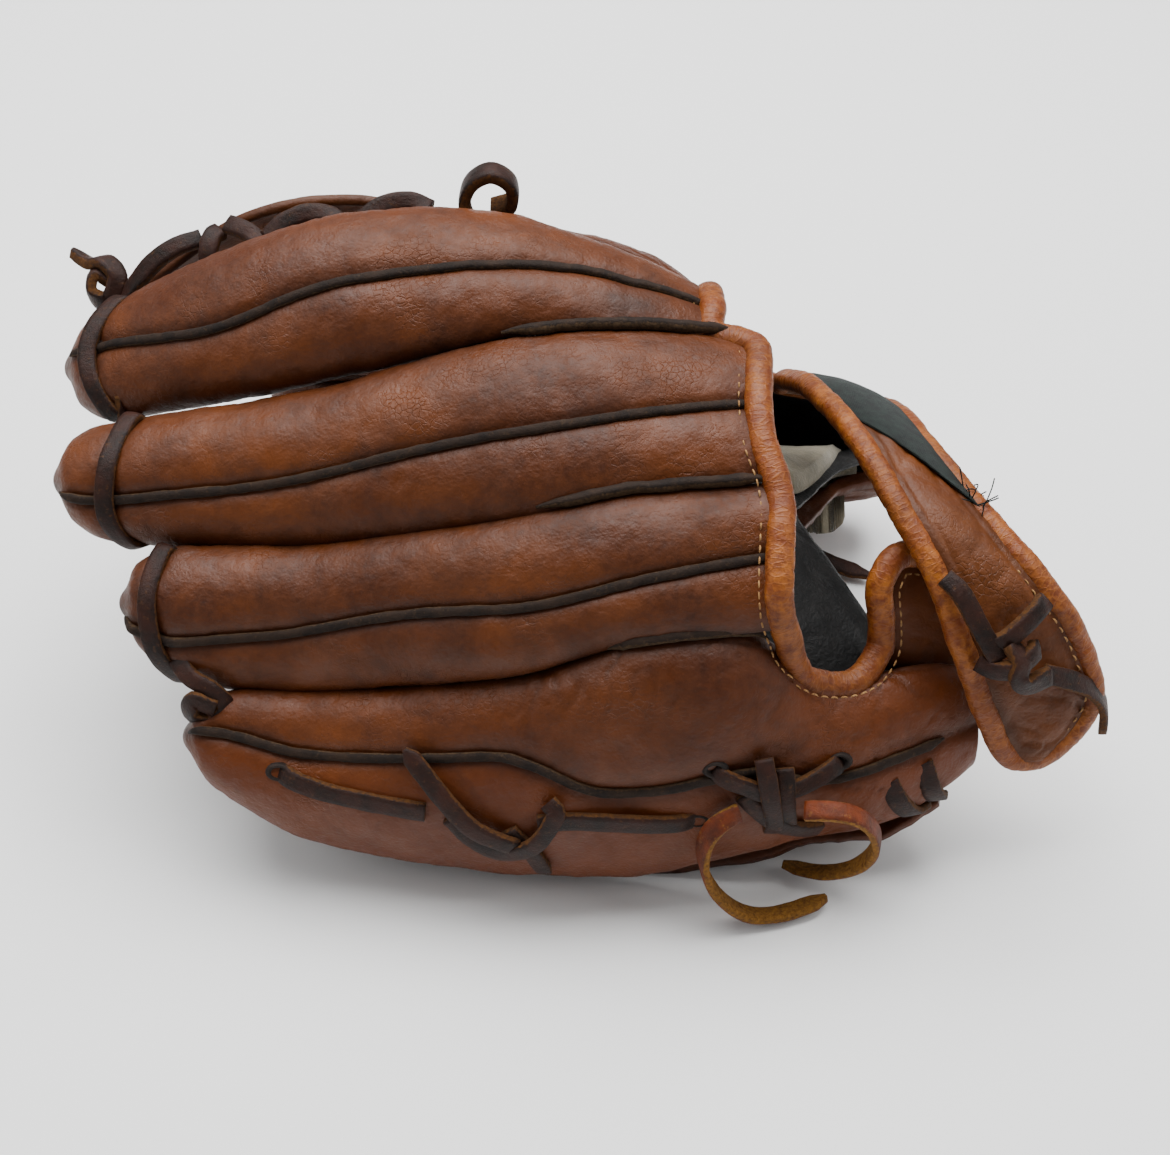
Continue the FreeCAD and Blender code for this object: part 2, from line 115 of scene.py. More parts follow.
THUMB_PALM = [
    (-13, [(85, 3.0), (78, 4.0), (66, 11), (57, 34), (50, 62), (41, 84), (30, 98)]),
    (20, [(84, 3.0), (77, 4.0), (64, 10), (56, 30), (49, 52), (40, 70), (24, 87)]),
    (50, [(80, 5.5), (74, 6.5), (62, 12), (53, 27), (44, 41), (33, 53), (15, 63)]),
    (66, [(78, 8), (72, 9), (60, 15), (52, 26), (40, 37), (26, 46), (2, 52)]),
    (86, [(73, 12), (68, 13), (59, 18), (54, 23), (50, 28), (46, 33), (40, 37)]),
    (102, [(68, 19), (64, 20), (58, 22), (55, 25), (53, 28), (51, 31), (49, 34)]),
]
WEB = [
    (-134, [(46, 117), (52, 112), (57, 106), (62, 99)]),
    (-100, [(50, 139), (61, 127), (71, 103), (77, 68)]),
    (-66, [(52, 144), (65, 129), (74, 104), (76, 70)]),
    (-38, [(51, 136), (61, 125), (69, 108), (70, 88)]),
]
GUSSET = [
    (-32, [(50, 136), (57, 130), (63, 121), (67.5, 110)]),
    (-4, [(46, 135), (52, 131), (57, 126), (60.5, 120)]),
    (20, [(42, 127), (48, 125), (53, 122.5), (56.5, 119.5)]),
    (36, [(37, 116), (43, 115), (48.5, 112.5), (53, 109)]),
]
HEEL_FLAP = [
    (83, [(-60, 58), (-58, 70), (-54, 82), (-48, 90)]),
    (94, [(-59, 58), (-56, 69), (-52, 80), (-45, 87)]),
    (104, [(-58, 56), (-54, 66), (-50, 75), (-44, 81)]),
    (113, [(-57, 52), (-53, 60), (-49, 68), (-46, 72)]),
]
STRAP_INNER = [(121, -79, 43), (113, -76, 57), (104, -69, 77), (96, -57, 94), (86, -40, 105), (77, -16, 109),
               (68, 10, 105), (63, 32, 92), (62, 44, 80)]
STRAP_OUTER = [(133, -77, 42), (144, -69, 55), (139, -63, 72), (126, -56, 90), (112, -38, 98), (100, -14, 101),
               (94, 10, 96), (90, 30, 83), (90, 42, 71)]
STRAP_CENTRE = np.array((98, -14, 30.0))


# ------------------------------------------------------------------ small maths, in mm
def hermite(table, x, column):
    """Smooth curve through a table's (key, value) pairs, at every x."""
    keys = np.array([r[0] for r in table], float)
    vals = np.array([r[column] for r in table], float)
    slopes = np.empty(len(keys))
    for j in range(len(keys)):
        lo, hi = max(0, j - 1), min(len(keys) - 1, j + 1)
        slopes[j] = (vals[hi] - vals[lo]) / (keys[hi] - keys[lo])
    i = np.clip(np.searchsorted(keys, x, side="right") - 1, 0, len(keys) - 2)
    span = keys[i + 1] - keys[i]
    t = (x - keys[i]) / span
    a = 2 * t**3 - 3 * t**2 + 1
    return (a * vals[i] + (t**3 - 2 * t**2 + t) * span * slopes[i]
            + (1 - a) * vals[i + 1] + (t**3 - t**2) * span * slopes[i + 1])

def unit(v):
    """The same vectors, each of length 1."""
    return v / (np.linalg.norm(v, axis=-1, keepdims=True) + 1e-12)


def run(path):
    """The length along a path up to each of its points."""
    return np.concatenate([[0], np.cumsum(np.linalg.norm(np.diff(path[:, :3], axis=0), axis=1))])


def sample(want, keys, values):
    """Every column of values, read at want between its keys."""
    values = np.asarray(values, float)
    return np.stack([np.interp(want, keys, values[:, k]) for k in range(values.shape[1])], -1)
def arch(digit, x, u, palm_side=False, trim=0.5):
    """Points and outward normals of a digit's face at x. u runs from -1, the low edge, to 1, the high edge."""
    x, u = np.broadcast_arrays(np.asarray(x, float), np.asarray(u, float))
    y, z, half, back, palm, spread, lean = (hermite(digit, x, k) for k in range(1, 8))
    height = -palm if palm_side else back
    turn = np.radians(90.0 if palm_side else spread)
    turn = np.broadcast_to(turn, x.shape)
    half = half - np.minimum(trim, 0.2 * half)
    a, flat = turn * u, np.cos(turn)
    across = half * np.sin(a) / np.sin(turn)
    up = height * (np.cos(a) - flat) / (1 - flat)
    run = half * np.cos(a) / np.sin(turn)
    rise = -height * np.sin(a) / (1 - flat)
    size = np.hypot(run, rise) + 1e-9
    out = -1.0 if palm_side else 1.0
    c, s = np.cos(np.radians(lean)), np.sin(np.radians(lean))
    n_across, n_up = -rise * out / size, run * out / size
    points = np.stack([x, y + across * c - up * s, z + across * s + up * c], -1)
    normals = np.stack([np.zeros_like(x), n_across * c - n_up * s, n_across * s + n_up * c], -1)
    return points, normals
def grid_normals(p):
    """Unit normals of a grid of points."""
    return unit(np.cross(np.gradient(p, axis=0), np.gradient(p, axis=1)))


def cubic(points, count=None, step=None):
    """Evenly spaced points on a smooth curve through points."""
    p = np.asarray(points, float)
    ext = np.vstack([2 * p[0] - p[1], p, 2 * p[-1] - p[-2]])
    t = np.linspace(0, 1, 24, endpoint=False)[:, None]
    dense = []
    for i in range(len(p) - 1):
        a, b, c, d = ext[i:i + 4]
        square, cube = 2 * a - 5 * b + 4 * c - d, 3 * b - a - 3 * c + d
        dense.append(0.5 * (2 * b + (c - a) * t + square * t**2 + cube * t**3))
    dense = np.vstack(dense + [p[-1:]])
    at = run(dense)
    return sample(np.linspace(0, at[-1], count or max(3, int(at[-1] / step) + 1)), at, dense)


def flat_curve(points, count):
    """A smooth curve through (y, z) points."""
    return cubic([(a, b, 0) for a, b in points], count=count)[:, :2]
def rough(p, size, octaves=3, seed=0.0):
    """Fractal noise between about -1 and 1 at every point, with features about size mm across."""
    flat = p.reshape(-1, 3) / size + seed
    out = [noise.fractal(Vector(q), 0.9, 2.1, octaves) for q in flat]
    return np.array(out).reshape(p.shape[:-1])


def ridges(p, size, seed=0.0):
    """Sharp creases: 1 on a crease line, falling to 0 between."""
    flat = p.reshape(-1, 3) / size + seed
    out = np.array([noise.noise(Vector(q)) for q in flat]).reshape(p.shape[:-1])
    return np.clip(1 - np.abs(out) * 6, 0, 1) ** 2


def bump(value, centre, width):
    return np.exp(-((value - centre) / width) ** 2)


def window(value, lo, hi, soft):
    """1 between lo and hi, falling to 0 over soft on either side."""
    return np.clip((value - lo) / soft + 0.5, 0, 1) * np.clip((hi - value) / soft + 0.5, 0, 1)


# ------------------------------------------------------------------ mesh builders
def make(name, points, faces, mats, face_mats=None, attributes=None):
    """A mesh object from points in mm in the drawing frame."""
    mesh = bpy.data.meshes.new(name)
    p = (np.asarray(points, float).reshape(-1, 3) + SHIFT) / 1000
    mesh.from_pydata(p.tolist(), [], faces)
    for m in mats:
        mesh.materials.append(m)
    if face_mats is not None:
        mesh.polygons.foreach_set("material_index", np.asarray(face_mats, np.int32))
    mesh.polygons.foreach_set("use_smooth", [True] * len(mesh.polygons))
    for key, values in (attributes or {}).items():
        layer = mesh.attributes.new(key, "FLOAT", "POINT")
        layer.data.foreach_set("value", np.asarray(values, np.float32).reshape(-1))
    mesh.validate()
    mesh.update()
    obj = bpy.data.objects.new(name, mesh)
    bpy.context.scene.collection.objects.link(obj)
    return obj


def grid_faces(rows, cols, start=0, flip=False, wrap=False):
    i, j = np.meshgrid(np.arange(rows - 1), np.arange(cols if wrap else cols - 1), indexing="ij")
    a = start + i * cols + j
    b = start + i * cols + (j + 1) % cols
    quads = np.stack([a, b, b + cols, a + cols], -1).reshape(-1, 4)
    return (quads[:, ::-1] if flip else quads).tolist()
def tube_faces(rows, cols):
    """Faces of a tube of rings, with its two ends."""
    ends = [list(range(cols))[::-1], list(range((rows - 1) * cols, rows * cols))]
    return grid_faces(rows, cols, wrap=True) + ends


def slab(name, outer, inner, mats, attributes=None):
    """A closed sheet between two matching grids. mats are (outer face, inner face)."""
    rows, cols = outer.shape[:2]
    n = rows * cols
    faces = grid_faces(rows, cols)
    kinds = [0] * len(faces)
    back = grid_faces(rows, cols, n, flip=True)
    faces += back
    kinds += [1] * len(back)
    loop = [(0, j) for j in range(cols)] + [(i, cols - 1) for i in range(1, rows)]
    loop += [(rows - 1, j) for j in range(cols - 2, -1, -1)] + [(i, 0) for i in range(rows - 2, 0, -1)]
    ids = [i * cols + j for i, j in loop]
    for a, b in zip(ids, ids[1:] + ids[:1]):
        faces.append([b, a, a + n, b + n])
        kinds.append(0)
    extra = {}
    for key, values in (attributes or {}).items():
        v = np.asarray(values, float).reshape(-1)
        extra[key] = np.concatenate([v, v])
    return make(name, np.concatenate([outer.reshape(-1, 3), inner.reshape(-1, 3)]), faces, mats, kinds, extra)
def path_frame(path, ups):
    """Up and across directions at every point of a path."""
    along = unit(np.gradient(path, axis=0))
    up = unit(ups - along * np.sum(ups * along, axis=1, keepdims=True))
    return up, np.cross(along, up)


def sweep(name, path, ups, profile, mat, wobble=0.0, taper=0.0, attributes=None, side_of=None, seed=0.0):
    """A profile of (across, up) points carried along a path. taper is the length over which the ends close."""
    ups, across = path_frame(path, ups)
    s = run(path)
    size = np.minimum(1, 0.25 + 0.75 * np.minimum(s, s[-1] - s) / taper) if taper else np.ones(len(path))
    ring = profile[None] * size[:, None, None]
    centre = path[:, None]
    pts = centre + across[:, None] * ring[..., :1] + ups[:, None] * ring[..., 1:]
    if wobble:
        pts = centre + (pts - centre) * (1 + wobble * rough(pts, 5.0, 3, seed))[..., None]
    rows, cols = pts.shape[:2]
    extra = {"along": np.repeat(s, cols)}
    if side_of is not None:
        extra["side"] = np.tile(side_of, rows)
    for key, values in (attributes or {}).items():
        extra[key] = np.repeat(values, cols)
    return make(name, pts, tube_faces(rows, cols), (mat,), attributes=extra)
def round_profile(w, h, n=16, power=1.0):
    a = np.linspace(0, 2 * np.pi, n, endpoint=False)
    c, s = np.cos(a), np.sin(a)
    return np.stack([w * np.sign(c) * np.abs(c) ** power, h * np.sign(s) * np.abs(s) ** power], -1)


RIBBON = np.array([(-1, -0.55), (-0.86, -1), (-0.4, -1), (0, -1), (0.4, -1), (0.86, -1), (1, -0.55), (1, 0.4),
                   (0.9, 0.92), (0.45, 1), (0, 1.04), (-0.45, 1), (-0.9, 0.92), (-1, 0.4)])
RIBBON_SIDE = [0.5, 0, 0, 0, 0, 0, 0.5, 0.55, 0.9, 1, 1, 1, 0.9, 0.55]     # 1 grain side, 0 flesh side
LACE_WIDTH, LACE_THICK = 2.8, 1.15     # half the width and half the thickness of a lace


def ribbon(name, rows, mat, width=LACE_WIDTH, thick=LACE_THICK, seed=0.0, tips=(0, 0)):
    """A flat lace through (x, y, z, grain side's normal) rows. Its ends narrow over the lengths in tips."""
    both = cubic(rows, step=0.9)
    path = both[:, :3]
    up, across = path_frame(path, both[:, 3:])
    s = run(path)
    w = width * (1 + 0.07 * rough(path, 9.0, 2, seed))
    t = thick * (1 + 0.10 * rough(path, 7.0, 2, seed + 5))
    for length, d in zip(tips, (s, s[-1] - s)):
        if length:
            w = w * np.clip(0.28 + 0.72 * d / length, 0, 1)
    curl = 0.10 * rough(path, 14.0, 1, seed + 9)
    out, rise = RIBBON[None, :, :1], RIBBON[None, :, 1:]
    pts = (path[:, None] + across[:, None] * (out * w[:, None, None])
           + up[:, None] * ((rise + curl[:, None, None] * out ** 2) * t[:, None, None]))
    pts += 0.10 * (rough(pts, 1.6, 2, seed + 3))[..., None] * np.sign(out + 1e-6) * across[:, None]
    count, cols = pts.shape[:2]
    extra = {"along": np.repeat(s, cols), "side": np.tile(RIBBON_SIDE, count)}
    return make(name, pts, tube_faces(count, cols), (mat,), attributes=extra)


def placed(obj, body, slot, *nodes):
    """Hides the CAD nodes a piece stands for and attaches it to what it moves with; slot, what it is made of,
    is not used.
    """
    if nodes:
        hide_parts(*nodes)
    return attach(obj, body)
# ------------------------------------------------------------------ materials
class Mat:
    """A small helper that builds one procedural material."""

    def __init__(self, name):
        self.mat = bpy.data.materials.new(name)
        self.mat.use_nodes = True
        self.tree = self.mat.node_tree
        self.shader = self.tree.nodes["Principled BSDF"]
        self.coord = self.tree.nodes.new("ShaderNodeTexCoord").outputs["Object"]

    def add(self, kind, settings=None, **inputs):
        node = self.tree.nodes.new("ShaderNode" + kind)
        for key, value in (settings or {}).items():
            setattr(node, key, value)
        for key, value in inputs.items():
            self.put(node.inputs[key.replace("_", " ")], value)
        return node

    def put(self, socket, value):
        if isinstance(value, bpy.types.NodeSocket):
            self.tree.links.new(value, socket)
        else:
            socket.default_value = value

    def noise(self, scale, detail=3.0, rough=0.55, where=None):
        node = self.add("TexNoise", Vector=where or self.coord, Scale=scale, Detail=detail, Roughness=rough)
        return node.outputs["Fac"]

    def cells(self, scale, feature="DISTANCE_TO_EDGE", where=None):
        node = self.add("TexVoronoi", {"feature": feature}, Vector=where or self.coord, Scale=scale)
        return node.outputs["Distance"]
    def warp(self, scale, amount):
        """Object coordinates pushed about by noise."""
        n = self.add("TexNoise", Vector=self.coord, Scale=scale, Detail=2.0)
        c = self.add("VectorMath", {"operation": "SUBTRACT"})
        self.tree.links.new(n.outputs["Color"], c.inputs[0])
        c.inputs[1].default_value = (0.5, 0.5, 0.5)
        m = self.add("VectorMath", {"operation": "MULTIPLY_ADD"})
        self.tree.links.new(c.outputs[0], m.inputs[0])
        m.inputs[1].default_value = (amount, amount, amount)
        self.tree.links.new(self.coord, m.inputs[2])
        return m.outputs[0]

    def attr(self, name):
        return self.add("Attribute", {"attribute_name": name}).outputs["Fac"]

    def remap(self, value, lo, hi, a=0.0, b=1.0):
        n = self.add("MapRange", {"clamp": True})
        self.put(n.inputs["Value"], value)
        for key, v in (("From Min", lo), ("From Max", hi), ("To Min", a), ("To Max", b)):
            n.inputs[key].default_value = v
        return n.outputs["Result"]

    def math(self, op, a, b=0.0):
        n = self.add("Math", {"operation": op})
        self.put(n.inputs[0], a)
        self.put(n.inputs[1], b)
        return n.outputs[0]

    def mix(self, factor, a, b):
        n = self.add("Mix", {"data_type": "RGBA", "clamp_factor": True})
        self.put(n.inputs[0], factor)
        self.put(n.inputs[6], a)
        self.put(n.inputs[7], b)
        return n.outputs[2]
    def bumps(self, *layers):
        """Stacked bump maps: (height, depth in metres)."""
        normal = None
        for height, depth in layers:
            b = self.add("Bump")
            b.inputs["Strength"].default_value = 1.0
            b.inputs["Distance"].default_value = depth
            self.put(b.inputs["Height"], height)
            if normal is not None:
                self.tree.links.new(normal, b.inputs["Normal"])
            normal = b.outputs[0]
        self.tree.links.new(normal, self.shader.inputs["Normal"])

    def set(self, **inputs):
        for key, value in inputs.items():
            self.put(self.shader.inputs[key.replace("_", " ")], value)


def srgb(r, g, b):
    """A colour given in 0-255 display values."""
    return tuple(((c / 255 + 0.055) / 1.055) ** 2.4 if c > 10 else c / 255 / 12.92 for c in (r, g, b)) + (1.0,)


def leather(name, light, mid, dark, orange, crack=0.35):
    """Worn glove leather. Vertex attributes: dirt and painted shade darken, wear lightens, tone turns it
    orange.
    """
    m = Mat(name)
    warped = m.warp(35.0, 0.010)
    blotch = m.noise(22.0, 4.0, 0.6, where=warped)
    cloud = m.noise(75.0, 4.0, 0.62, where=warped)
    fine = m.noise(420.0, 4.0, 0.65)
    pore = m.noise(1700.0, 2.0, 0.6)
    base = m.mix(m.remap(blotch, 0.34, 0.66), mid, light)
    base = m.mix(m.remap(cloud, 0.42, 0.70, 0.0, 0.62), base, dark)
    base = m.mix(m.remap(fine, 0.36, 0.72, 0.0, 0.34), base, light)
    base = m.mix(m.remap(m.attr("tone"), 0.0, 1.0, 0.0, 0.85), base, orange)
    lines = m.cells(520.0, where=m.warp(300.0, 0.0026))
    creased = m.remap(lines, 0.0, 0.055, 1.0, 0.0)
    patchy = m.remap(m.noise(45.0, 3.0, 0.6), 0.50, 0.68)
    cracks = m.math("MULTIPLY", creased, m.math("MULTIPLY", patchy, crack))
    base = m.mix(cracks, base, light)
    wear = m.math("MULTIPLY", m.attr("wear"), m.remap(m.noise(260.0, 5.0, 0.7), 0.38, 0.68))
    base = m.mix(m.math("MULTIPLY", wear, 0.75), base, light)
    smudge = m.remap(m.noise(130.0, 4.0, 0.65, where=warped), 0.54, 0.80, 0.0, 0.32)
    # Darkening towards a near-black brown: random dirt smudges plus the attribute, which holds real dirt and
    # painted shade in gaps, seams and creases.
    dirt_and_shade = m.math("ADD", m.attr("dirt_and_shade"), smudge)
    shade_and_soot = tuple(c * 0.16 for c in dark[:3]) + (1.0,)
    base = m.mix(m.math("MINIMUM", dirt_and_shade, 0.92), base, shade_and_soot)
    m.set(Base_Color=base)
    rough_map = m.math("ADD", m.remap(cloud, 0.3, 0.7, 0.40, 0.60), m.remap(fine, 0.3, 0.7, -0.06, 0.08))
    m.set(Roughness=rough_map)
    m.shader.inputs["Specular IOR Level"].default_value = 0.26
    grain = m.cells(1050.0, "F1")
    cut = m.math("MULTIPLY", m.remap(lines, 0.0, 0.10, 1.0, 0.0), patchy)
    m.bumps((pore, 0.00005), (grain, 0.00006), (m.math("SUBTRACT", 1.0, cut), 0.00012), (fine, 0.00028),
            (cloud, 0.0006))
    return m.mat


def lace_leather(name, grain_a, grain_b, flesh_a, flesh_b, rough=0.52):
    """Lace leather: oiled on its grain side (side 1), napped on its flesh side (side 0), fuzzy at the edges."""
    m = Mat(name)
    n1 = m.noise(160.0, 4.0, 0.6)
    n2 = m.noise(900.0, 4.0, 0.7)
    grain = m.mix(m.remap(n1, 0.35, 0.65), grain_a, grain_b)
    grain = m.mix(m.remap(m.noise(520.0, 4.0, 0.75), 0.58, 0.74, 0.0, 0.6), grain, flesh_a)
    flesh = m.mix(m.remap(n2, 0.35, 0.7), flesh_a, flesh_b)
    side = m.math("ADD", m.attr("side"), m.remap(n2, 0.3, 0.7, -0.18, 0.18))
    m.set(Base_Color=m.mix(m.remap(side, 0.62, 0.80), flesh, grain))
    m.set(Roughness=m.remap(side, 0.5, 0.9, 0.92, rough))
    m.shader.inputs["Specular IOR Level"].default_value = 0.2
    m.bumps((n2, 0.00028), (m.noise(2600.0, 2.0, 0.7), 0.00012))
    return m.mat


def binding_leather(name, light, mid, dark):
    """Rolled edge binding, cracked across its length; attributes along (mm) and around (0 to 1)."""
    m = Mat(name)
    blotch = m.noise(48.0, 4.0, 0.6, where=m.warp(60.0, 0.008))
    base = m.mix(m.remap(blotch, 0.42, 0.80, 0.0, 0.75), mid, dark)
    base = m.mix(m.remap(m.noise(240.0, 4.0, 0.7), 0.48, 0.74, 0.0, 0.45), base, light)
    both = m.add("CombineXYZ")
    m.put(both.inputs[0], m.math("MULTIPLY", m.attr("along"), 1.0))
    m.put(both.inputs[1], m.math("MULTIPLY", m.attr("around"), 4.5))
    across = m.cells(0.62, where=both.outputs[0])
    crack = m.remap(across, 0.0, 0.085, 1.0, 0.0)
    crack = m.math("MULTIPLY", crack, m.remap(m.noise(90.0, 3.0), 0.40, 0.62))
    base = m.mix(m.math("MULTIPLY", crack, 0.35), base, light)
    scuffs = m.remap(m.noise(300.0, 4.0, 0.7), 0.40, 0.62)
    base = m.mix(m.math("MULTIPLY", m.attr("wear"), scuffs), base, light)
    base = m.mix(m.math("MINIMUM", m.attr("dirt_and_shade"), 0.9), base, tuple(c * 0.22 for c in dark[:3]) + (1.0,))
    m.set(Base_Color=base, Roughness=m.remap(blotch, 0.3, 0.7, 0.42, 0.60))
    m.shader.inputs["Specular IOR Level"].default_value = 0.3
    m.bumps((m.noise(1500.0, 3.0), 0.00010), (m.remap(across, 0.0, 0.12), 0.00008),
            (m.noise(380.0, 4.0), 0.00030))
    return m.mat


def dull(name, a, b, scale, depth, rough=0.85, sheen=0.0, weave=0.0):
    """Matt material: felt, lining or woven label."""
    m = Mat(name)
    n1, n2 = m.noise(scale, 4.0, 0.65), m.noise(scale * 6, 3.0, 0.7)
    base = m.mix(m.remap(n1, 0.35, 0.65), a, b)
    m.set(Base_Color=m.mix(m.remap(n2, 0.45, 0.75, 0.0, 0.4), base, b))
    m.set(Roughness=m.remap(n2, 0.3, 0.7, rough - 0.1, rough))
    m.shader.inputs["Specular IOR Level"].default_value = 0.3
    if sheen:
        m.shader.inputs["Sheen Weight"].default_value = sheen
        m.shader.inputs["Sheen Roughness"].default_value = 0.5
    if weave:
        w = m.add("TexWave", {"wave_type": "BANDS", "bands_direction": "DIAGONAL"}, Vector=m.coord, Scale=weave,
                  Distortion=1.0)
        m.bumps((w.outputs["Fac"], 0.00018), (n2, depth))
    else:
        m.bumps((n1, depth * 1.5), (n2, depth))
    return m.mat


HIDE = leather("glove_leather", srgb(96, 48, 14), srgb(53, 21, 4), srgb(28, 9, 2), srgb(94, 41, 5))
STRAP_HIDE = leather("strap_leather", srgb(100, 54, 18), srgb(70, 33, 8), srgb(42, 17, 4), srgb(100, 47, 7))
INNER_HIDE = leather("palm_leather", srgb(90, 44, 14), srgb(58, 25, 7), srgb(34, 13, 4), srgb(88, 39, 7), 0.2)
BINDING = binding_leather("binding_leather", srgb(160, 94, 30), srgb(104, 47, 12), srgb(54, 22, 7))
WELT = lace_leather("welt_leather", srgb(40, 27, 18), srgb(22, 14, 10), srgb(72, 54, 36), srgb(38, 27, 18),
                    rough=0.75)
LACE = lace_leather("lace_leather", srgb(46, 21, 12), srgb(22, 10, 6), srgb(84, 52, 22), srgb(40, 22, 9))
TAIL = lace_leather("tail_leather", srgb(104, 46, 18), srgb(60, 24, 10), srgb(132, 90, 36), srgb(70, 44, 17))
LINING = dull("lining_leather", srgb(30, 29, 28), srgb(17, 17, 17), 120.0, 0.0004, rough=0.62)
FELT = dull("pad_felt", srgb(128, 120, 100), srgb(104, 97, 80), 160.0, 0.0003, rough=0.95, sheen=0.3)
LABEL = dull("label_weave", srgb(26, 36, 32), srgb(12, 16, 15), 300.0, 0.0001, rough=0.8, weave=900.0)
# Near-black: painted shade inside the lace holes.
HOLE_SHADE = dull("painted_hole_shade", srgb(34, 20, 12), srgb(16, 10, 7), 300.0, 0.0001, rough=0.8)
FRAY = dull("frayed_thread", srgb(20, 26, 24), srgb(10, 12, 12), 700.0, 0.0001, rough=0.8)
THREAD = dull("thread", srgb(168, 128, 80), srgb(120, 84, 48), 700.0, 0.0001, rough=0.8)


# ------------------------------------------------------------------ digits
def line_u(spots, x):
    """A seam's u at x, from its (x, u) spots."""
    c = flat_curve(spots, 200)
    return np.interp(x, c[:, 0], c[:, 1])
WELTS = {
    "index": [(-150, 0.05), (-139, 0.03), (-105, -0.15), (-69, -0.06), (-17, -0.22), (5, -0.23), (37, -0.24)],
    "middle": [(-146, -0.28), (-134, -0.28), (-105, -0.17), (-49, -0.07), (5, -0.1), (48, -0.06)],
    "ring": [(-127, -0.25), (-115, -0.25), (-90, -0.07), (-49, 0.03), (5, -0.16), (52, 0.0)],
    "pinky": [(-109, 0.42), (-78, 0.31), (-28, 0.36), (-14, 0.3), (8, 0.05), (43, 0.02), (102, 0.06)],
    "thumb": [(-105, 0.0), (-58, 0.0), (-4, 0.0), (38, 0.0), (100, 0.0)],
}
DIGITS = {"index": INDEX, "middle": MIDDLE, "ring": RING, "pinky": PINKY, "thumb": THUMB}
# The lace that wraps each fingertip, as (x, u): the leather is drawn in under it.
WRAPS = {
    "index": [(-136, 0.62), (-141, 0.3), (-143, -0.05), (-141, -0.4), (-135, -0.8)],
    "middle": [(-127, 0.7), (-131, 0.1), (-132, -0.45), (-126, -0.9)],
    "ring": [(-116, 0.8), (-119, 0.2), (-118, -0.35), (-113, -0.8)],
}


def tip_scale(digit, x):
    """Closes a digit's tip as a dome over its last 2 mm."""
    return np.sqrt(np.clip((x - (digit[0][0] - 2.0)) / 2.0, 0.004, 1.0))


def tipped(digit, x, p, n):
    """Points and normals drawn in towards the digit's middle at its tip."""
    s = tip_scale(digit, x)[..., None]
    within = np.maximum(x, digit[0][0])
    centre = np.stack([x, hermite(digit, within, 1), hermite(digit, within, 2)], -1)
    q = centre + (p - centre) * s
    q[..., 0] = x
    m = n.copy()
    m[..., 0] -= 1.3 * np.clip((digit[0][0] + 8 - x) / 10.0, 0, 1)
    return q, unit(m)


def digit_grid(digit, step, cols, palm_side=False, stop=None, trim=0.5):
    """Grids of x, u, points and normals over one face of a digit, closer together at its tip and edges."""
    end = stop if stop is not None else digit[-1][0]
    head = digit[0][0] - 2.0 + np.array([0.0, 0.12, 0.45, 1.0, 1.6, 2.2, 3.0, 3.9])
    xs = np.concatenate([head, np.arange(digit[0][0] + 2.9, end - 0.3, step), [end]])
    us = np.linspace(-1, 1, cols)
    us = np.sign(us) * (0.82 * np.abs(us) + 0.18 * (1 - (1 - np.abs(us)) ** 2.2))
    x, u = np.meshgrid(xs, us, indexing="ij")
    p, n = arch(digit, np.maximum(x, digit[0][0]), u, palm_side, trim)
    p, n = tipped(digit, x, p, n)
    return x, u, p, n


